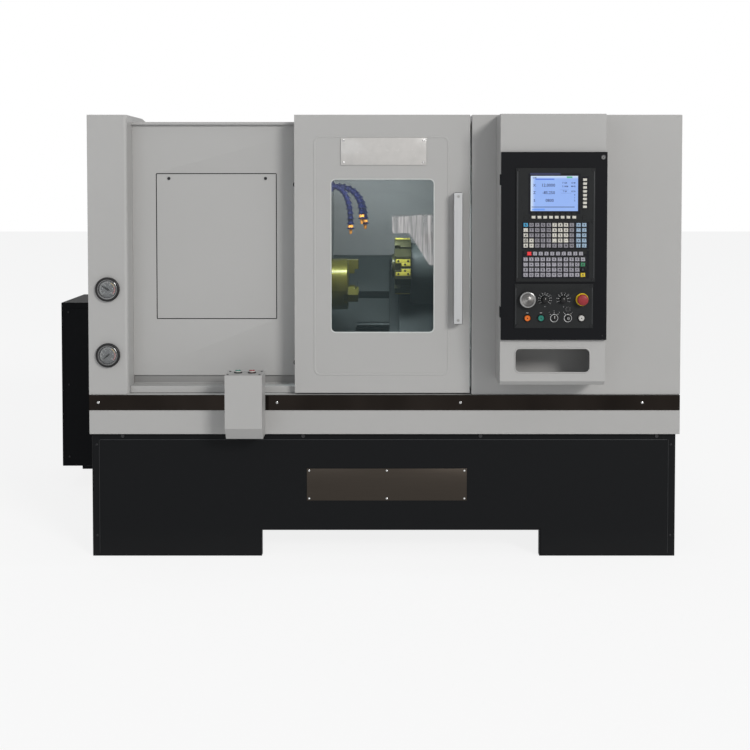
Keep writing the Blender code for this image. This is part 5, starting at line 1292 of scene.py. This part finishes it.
def add_knob_details(node):
    """A fluted black knob's skirt, its pale pointer line and its cap."""
    front = middle_of(node)
    back = at_depth(front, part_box(node)[1].y - 0.0145)
    flute = mm((0, 0), (0, 1), (12, 0.9), (12.8, 0))
    flutes = [turned(flute, FRONT, around(back, 0.0113, 20 * k), 8) for k in range(18)]
    shaped(f"{node}_flutes", flutes, node, BLACK_CAP)
    cap = mm((-0.2, 0), (-0.2, 7.8), (0.5, 7.4), (0.5, 0))
    lathed(f"{node}_cap", cap, FRONT, front, node, BLACK_CAP, 32)
    tip = front + Vector((0.0007, -0.0003, 0.0072))
    shaped(f"{node}_pointer", block(front + Vector((-0.0007, -0.0009, 0.0010)), tip, 0.0002), node, PALE)


def add_stop_details():
    """The mushroom's crown and three arrow marks that show which way it turns to release."""
    front = middle_of("emergency_stop")
    head = mm((-29.8, 0), (-29.8, 9.8), (-16.5, 9.8), (-15.7, 15), (-14.6, 18.8), (-12.6, 20), (-7.8, 20),
              (-4.6, 19.1), (-2.2, 16.4), (-0.6, 11), (0, 0))
    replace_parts(lathed("stop_head", head, FRONT, front, "emergency_stop", RED, 56, 60), "emergency_stop")
    base = at_depth(front, front.y + 0.0012)
    arrows = [flat_arc(base, 0.0104, 0.0118, start, start + 62, 0.0010, 10) for start in (90, 210, 330)]
    shaped("stop_arrows", arrows, "emergency_stop", RED)


def add_button_face(node):
    """A push button's slightly sunken face and dark middle dot."""
    spot = middle_of(node)
    rim = mm((-0.3, 7.4), (-0.3, 9.2), (0.4, 9), (0.6, 8.2), (0.3, 7.4))
    lathed(f"{node}_rim", rim, FRONT, spot, node, SLOT_FINISH[slot_of[node]], 40)
    dot = mm((-0.2, 0), (-0.2, 2.4), (0.3, 2.2), (0.4, 0))
    lathed(f"{node}_dot", dot, FRONT, spot, node, BLACK_CAP, 20)


add_console_details()


# Pod: slot trim, lock face and fixings

POD_SLOT = (0.273, 0.087, 0.048)        # the slot's width and height, and its rise above the pod's lower edge
HINGE_RISES = (0.082, 0.565)


def add_pod_details():
    low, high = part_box("pod_housing")
    lid_low, lid_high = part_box("pod_door")
    centre_x = (low.x + high.x) / 2
    width, height, rise = POD_SLOT
    lip = mm((4, 0), (3.6, 1.2), (1.6, 2), (-0.4, 1.4), (-1.2, 0), (-1.2, -3), (-0.2, -3), (-0.2, -0.2),
             (4, -0.2))
    bottom = low.z + rise
    left, right = centre_x - width / 2, centre_x + width / 2
    trim = bead_round((left, bottom), (right, bottom + height), 0.018, low.y, lip)
    shaped("pod_slot_lip", trim, "root", WHITE, 60)
    lock = Vector((lid_high.x - 0.0155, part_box("pod_lock")[0].y, lid_high.z - 0.0200))
    ring = mm((-1.8, 7.2), (-1.8, 9.8), (-0.4, 9.4), (0, 7.4))
    lathed("pod_lock_ring", ring, FRONT, lock, "pod_door", DARK_BOLT, 32)
    slot = block((-0.0008, -0.0002, -0.0042), (0.0008, 0.0006, 0.0042))
    slot.transform(Matrix.Translation(lock) @ Matrix.Rotation(math.radians(40), 4, "Y"))
    shaped("pod_lock_slot", slot, "pod_lock", BLACK_CAP)
    screw = spread(FRONT, lid_high.x - 0.0155, lid_high.y - 0.0147, lid_low.z + 0.0150)
    cross_screws("pod_door_screw", screw, "pod_door", DARK_BOLT, 0.0032, 0.0018)
    hinges = [lid_low.z + rise for rise in HINGE_RISES]
    screws = spread(LEFT, low.x, low.y + 0.012, [z + step for z in hinges for step in (0.010, 0.030)])
    cross_screws("pod_hinge_screws", screws, "root", DARK_BOLT, 0.0032, 0.0016)
    leaves = [block((low.x - 0.0012, low.y + 0.0005, z), (low.x, low.y + 0.022, z + 0.040), 0.0004)
              for z in hinges]
    shaped("pod_hinge_leaves", leaves, "root", BLACK_CAP)
    screws = spread(UP, rows(low.x, high.x, 0.02), rows(low.y, high.y, 0.03), high.z)
    cross_screws("pod_top_screws", screws, "root", ZINC, 0.0045, 0.0020)


add_pod_details()


# Button box: collars, marks and screws

def add_button_box_details():
    low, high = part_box("button_box")
    middle_y = (low.y + high.y) / 2
    top = high.z
    collar = mm((-0.2, 11.9), (-0.2, 15.2), (2.6, 15), (3.6, 14), (3.6, 11.9))
    mark = mm((-0.4, 0), (-0.4, 4.6), (0.4, 4.2), (0.6, 0))
    collars = []
    for node in ("start_button", "stop_button"):
        a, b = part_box(node)
        spot = Vector(((a.x + b.x) / 2, (a.y + b.y) / 2, top))
        collars.append(turned(collar, UP, spot, 40))
        rise = b.z - top
        lathed(f"{node}_mark", mark, UP, Vector((spot.x, spot.y, b.z)), node, PALE, 28)
        band = [(rise * 0.40, 0.0090), (rise * 0.40, 0.0117), (rise * 0.78, 0.0117), (rise * 0.78, 0.0090)]
        lathed(f"{node}_band", band, UP, spot, node, PALE, 40)
    shaped("button_box_collars", collars, "root", BLACK_CAP)
    screws = spread(UP, rows(low.x, high.x, 0.010), (low.y + 0.014, middle_y + 0.030), top)
    socket_screws("button_box_screws", screws, "root", DARK_BOLT, 0.0042, 0.0020)
    middle = Vector(((low.x + high.x) / 2, middle_y, top))
    tag = block(middle + Vector((-0.006, -0.008, -0.0002)), middle + Vector((0.006, 0.008, 0.0008)), 0.0003)
    shaped("button_box_tag", tag, "root", ALUMINIUM)


add_button_box_details()


# Work chamber: chuck and jaw screws, turret clamps, and the jointed coolant hoses

def standing(middle, across, outward):
    """Puts a shape drawn about zero on the chuck or turret: its X along the spindle, its Z outward."""
    return Matrix.Translation(middle) @ Matrix((RIGHT, across, outward)).transposed().to_4x4()


def add_chuck_details():
    centre = Vector((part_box("chuck_body")[1].x, *spindle_centre))
    screws = []
    for k in range(6):
        screws.append((around(centre, 0.083, 30 + 60 * k + (12 if k % 2 else -12), BACK), RIGHT))
    socket_screws("chuck_face_screws", screws, "spindle", DARK_BOLT, 0.0058, 0.0024)
    rings = []
    for radius in (0.0300, 0.0500, 0.0720):
        section = [(-0.0002, radius - 0.0008), (-0.0002, radius + 0.0008), (0.0004, radius + 0.0005),
                   (0.0004, radius - 0.0005)]
        gap = math.degrees(math.asin(0.0195 / radius))
        for start in (90, 210, 330):
            rings.append(arc(centre, (BACK, UP, RIGHT), section, start + gap, start + 120 - gap, 16))
    shaped("chuck_face_rings", rings, "spindle", OILED)
    for k in range(3):
        jaw = f"jaw_{k + 1}"
        outward = around(Vector(), 1, 90 + 120 * k, BACK)
        across = around(Vector(), 1, 180 + 120 * k, BACK)
        screws = [(centre + outward * reach + RIGHT * 0.042, RIGHT) for reach in (0.0705, 0.0905)]
        socket_screws(f"{jaw}_screws", screws, jaw, DARK_BOLT, 0.0070, 0.0016)
        teeth = []
        for n in range(9):
            middle = centre + outward * (0.047 + n * 0.0056) + RIGHT * 0.0006
            teeth.append(block((-0.0004, -0.0185, -0.0009), (0.0008, 0.0185, 0.0009)))
            teeth[-1].transform(standing(middle, across, outward))
        shaped(f"{jaw}_serrations", teeth, jaw, GROUND)


def add_turret_details():
    """Clamp pads beside every station's slot, their screws, and the face plate."""
    low = disc_low
    centre = Vector((low.x + 0.044, *disc_centre))
    half = 0.225 / 2
    pads = []
    screws = []
    for turn in (45, 135, 225, 315):
        outward = around(Vector(), 1, turn, UPHILL, OUTWARD)
        across = around(Vector(), 1, turn + 90, UPHILL, OUTWARD)
        for side in (-1, 1):
            middle = centre + outward * half + across * side * 0.0245
            for a, b, c, d in ((-0.030, 0.030, -0.0055, 0.0090), (-0.006, 0.030, -0.0190, -0.0050)):
                y0, y1 = (c, d) if side > 0 else (-d, -c)
                pads.append(block((a, y0, -0.0006), (b, y1, 0.0030), 0.0006))
                pads[-1].transform(standing(middle, across, outward))
            for x, y in ((-0.019, 0.0018), (0.021, 0.0018), (0.008, -0.0115)):
                screws.append((middle + RIGHT * x + across * side * y + outward * 0.0030, outward))
    shaped("turret_clamps", pads, "turret", CLAMP)
    socket_screws("turret_clamp_screws", screws, "turret", DARK_BOLT, 0.0046, 0.0008)
    face = Vector((low.x, *disc_centre))
    screws = [(around(face, 0.036, 60 * k, UPHILL, OUTWARD), LEFT) for k in range(6)]
    socket_screws("turret_hub_screws", screws, "turret", DARK_BOLT, 0.0050, 0.0030)
    cap = mm((-0.3, 0), (-0.3, 16), (2, 15.5), (2.8, 12), (2.8, 0))
    lathed("turret_hub_cap", cap, LEFT, face, "turret", GROUND, 40)


def add_hoses():
    low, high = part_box("coolant_manifold")
    left, front, bottom = low.x, low.y, high.z - 0.040
    right = left + 0.024
    manifold = block((left, front, bottom), (right, front + 0.090, bottom + 0.040), 0.003)
    shaped("manifold_block", manifold, "root", HOSE)
    nozzle = mm((-4, 0), (-4, 9.5), (4, 11.2), (9, 11.2), (12, 8.2), (33, 5), (34, 4.2), (34, 0))
    curve = bpy.data.curves.new("hose_lines", "CURVE")
    curve.dimensions = "3D"
    tips = []
    for reach, drop, depth in ((0.62, 1.00, 0.15), (1.00, 0.78, 0.50), (1.12, 0.90, 0.85)):
        y = front + 0.090 * depth
        start = Vector((right - 0.0085, y, bottom + 0.020))
        end = Vector((right + 0.1155 * reach, y, start.z - 0.1848 * drop + 0.026))
        bend = Vector((end.x, y, start.z + 0.0085))
        path = []
        for k in range(25):
            t = k / 24
            path.append(start * (1 - t) ** 2 + bend * 2 * t * (1 - t) + end * t ** 2)
        tips.append(turned(nozzle, (path[-1] - path[-2]).normalized(), end, 24))
        spline = curve.splines.new("POLY")
        spline.points.add(len(path) - 1)
        for point, place in zip(spline.points, path):
            point.co = (*place, 1.0)
    hoses = HOSE_JOINTS.build("coolant_hose_joints", curve, "root", HOSE, sharp=40)
    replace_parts(hoses, "coolant_manifold")
    shaped("coolant_nozzles", tips, "root", NOZZLE, 40)


add_chuck_details()
add_turret_details()
add_hoses()


# Back and left: the cabinet's louvres, locks and hinges, and the power unit's sheet and cap

UNIT_HEIGHT = 0.771        # the power unit's box, without its feet


def add_cabinet_details():
    low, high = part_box("cabinet_door")
    y = high.y
    for name, z in (("lower", low.z + 0.09), ("upper", high.z - 0.09 - 0.016 * 8)):
        LOUVRES.build(f"cabinet_louvres_{name}", None, "cabinet_door", WHITE, {
            "Count": 9, "Pitch": 0.016, "Blade": (0.24, 0.0080, 0.0012), "Tilt": math.radians(-42),
            "Start place": ((low.x + high.x) / 2, y - 0.0021, z)})
    lock_x = high.x - 0.035
    lock = mm((-0.2, 0), (-0.2, 16), (0.8, 15.5), (1, 14.5), (1, 0))
    locks = [Vector((lock_x, y, z)) for z in rows(low.z, high.z, 0.28)]
    shaped("cabinet_locks", [turned(lock, BACK, place, 32) for place in locks], "cabinet_door", ZINC)
    slot_low, slot_high = Vector((-0.0016, 0.0006, -0.008)), Vector((0.0016, 0.0013, 0.008))
    slots = [block(place + slot_low, place + slot_high) for place in locks]
    shaped("cabinet_lock_slots", slots, "cabinet_door", BLACK_CAP)
    knuckle = mm((-30, 0), (-30, 5), (-28, 6.2), (28, 6.2), (30, 5), (30, 0))
    knuckles = [turned(knuckle, UP, Vector((low.x, y - 0.0060, z)), 24) for z in rows(low.z, high.z, 0.12)]
    shaped("cabinet_hinges", knuckles, "cabinet_door", DARK_BOLT)


def add_power_unit_details():
    low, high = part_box("hydraulic_unit")
    floor_gap = high.z - UNIT_HEIGHT
    y = low.y - 0.0016
    sheet = block((low.x + 0.020, y, floor_gap + 0.03), (high.x - 0.020, low.y + 0.0003, high.z - 0.03), 0.0007)
    shaped("power_unit_sheet", sheet, "root", SHADED_UNIT_BLACK)
    screws = spread(FRONT, rows(low.x, high.x, 0.034), y, rows(floor_gap, high.z, 0.045, 3))
    screws += spread(UP, rows(low.x, high.x, 0.03), rows(low.y, high.y, 0.03), high.z)
    cross_screws("power_unit_screws", screws, "root", DARK_BOLT, 0.0050, 0.0022)
    cap = mm((-0.3, 0), (-0.3, 34), (10, 34), (13, 30), (30, 28), (33, 25), (33, 0))
    lathed("oil_filler_cap", cap, UP, Vector((low.x + 0.10, high.y - 0.10, high.z)), "root", ALUMINIUM, 40)


add_cabinet_details()
add_power_unit_details()


# Floor, light and camera

def stage_look():
    """A floor that the camera and reflections see as nearly white, and that keeps the object's shadow."""
    f = Finish("pale_floor")
    grain = f.noise(30.0, 3.0)
    pale = f.mixed(grain, (0.86, 0.86, 0.86), (0.90, 0.90, 0.90))
    matt = f.node("ShaderNodeBsdfDiffuse", {}, {"Color": pale})
    plain = f.node("ShaderNodeEmission", {}, {"Color": (1.0, 1.0, 1.0, 1.0), "Strength": 1.0})
    mix = f.node("ShaderNodeMixShader", {}, [seen_directly(f) * 0.85, matt, plain])
    f.node("ShaderNodeOutputMaterial", {}, [mix], None)
    return f.material


def seen_directly(graph):
    """One for rays from the camera, off a gloss and through glass, and nothing for the light on the object."""
    rays = graph.node("ShaderNodeLightPath", {}, [], "Is Camera Ray")
    outputs = rays.socket.node.outputs
    for way in ("Is Glossy Ray", "Is Transmission Ray"):
        rays = graph.math("MAXIMUM", rays, Tone(graph, outputs[way]))
    return rays


def add_stage():
    shape = bmesh.new()
    bmesh.ops.create_grid(shape, x_segments=1, y_segments=1, size=30)
    mesh = bpy.data.meshes.new("floor")
    shape.to_mesh(mesh)
    shape.free()
    mesh.materials.append(stage_look())
    floor = placed("floor", mesh)
    world = bpy.data.worlds.new("studio")
    bpy.context.scene.world = world
    world.use_nodes = True
    g = Graph(world.node_tree)
    world.node_tree.nodes.clear()
    plain = g.node("ShaderNodeBackground", {}, {"Color": (1.0, 1.0, 1.0, 1.0), "Strength": 1.0})
    dim = g.node("ShaderNodeBackground", {}, {"Color": (0.96, 0.98, 1.0, 1.0), "Strength": 0.44})
    mix = g.node("ShaderNodeMixShader", {}, [seen_directly(g), dim, plain])
    g.node("ShaderNodeOutputWorld", {}, [mix], None)


def add_light(name, place, target, size, power, colour=(1.0, 1.0, 1.0)):
    data = bpy.data.lights.new(name, "AREA")
    data.shape = "RECTANGLE"
    data.size, data.size_y = size
    data.energy = power
    data.color = colour
    light = placed(name, data)
    light.location = ORIGIN + Vector(place)
    light.rotation_euler = (Vector(target) - Vector(place)).to_track_quat("-Z", "Y").to_euler()


FOCAL_PIXELS = 1188.0        # the focal length, in pixels of a picture that is 750 wide
CAMERA_TILT = math.radians(90.0 - 2.07)


def add_camera():
    data = bpy.data.cameras.new("camera")
    data.sensor_width = 36.0
    data.lens = data.sensor_width * FOCAL_PIXELS / 750.0
    data.shift_x = -0.0128
    data.shift_y = -0.1987
    data.clip_end = 60.0
    camera = placed("camera", data)
    camera.location = ORIGIN + Vector((0.0, -4.5, 1.433))
    camera.rotation_euler = (CAMERA_TILT, 0.0, 0.0)
    bpy.context.scene.camera = camera


add_stage()
add_light("key", (12.5, -19.3, 11.0), (0.0, 0.2, 1.0), (6.0, 5.0), 3400.0, (1.0, 0.985, 0.96))
add_light("fill", (-2.6, -5.4, 2.4), (-0.1, 0.6, 0.8), (2.6, 2.4), 26.0, (0.93, 0.97, 1.0))
add_light("chamber", (-0.08, 0.13, 1.465), (-0.10, 0.62, 1.05), (0.42, 0.10), 8.0, (0.84, 0.97, 1.0))
add_camera()
bpy.context.scene.view_settings.view_transform = "Standard"
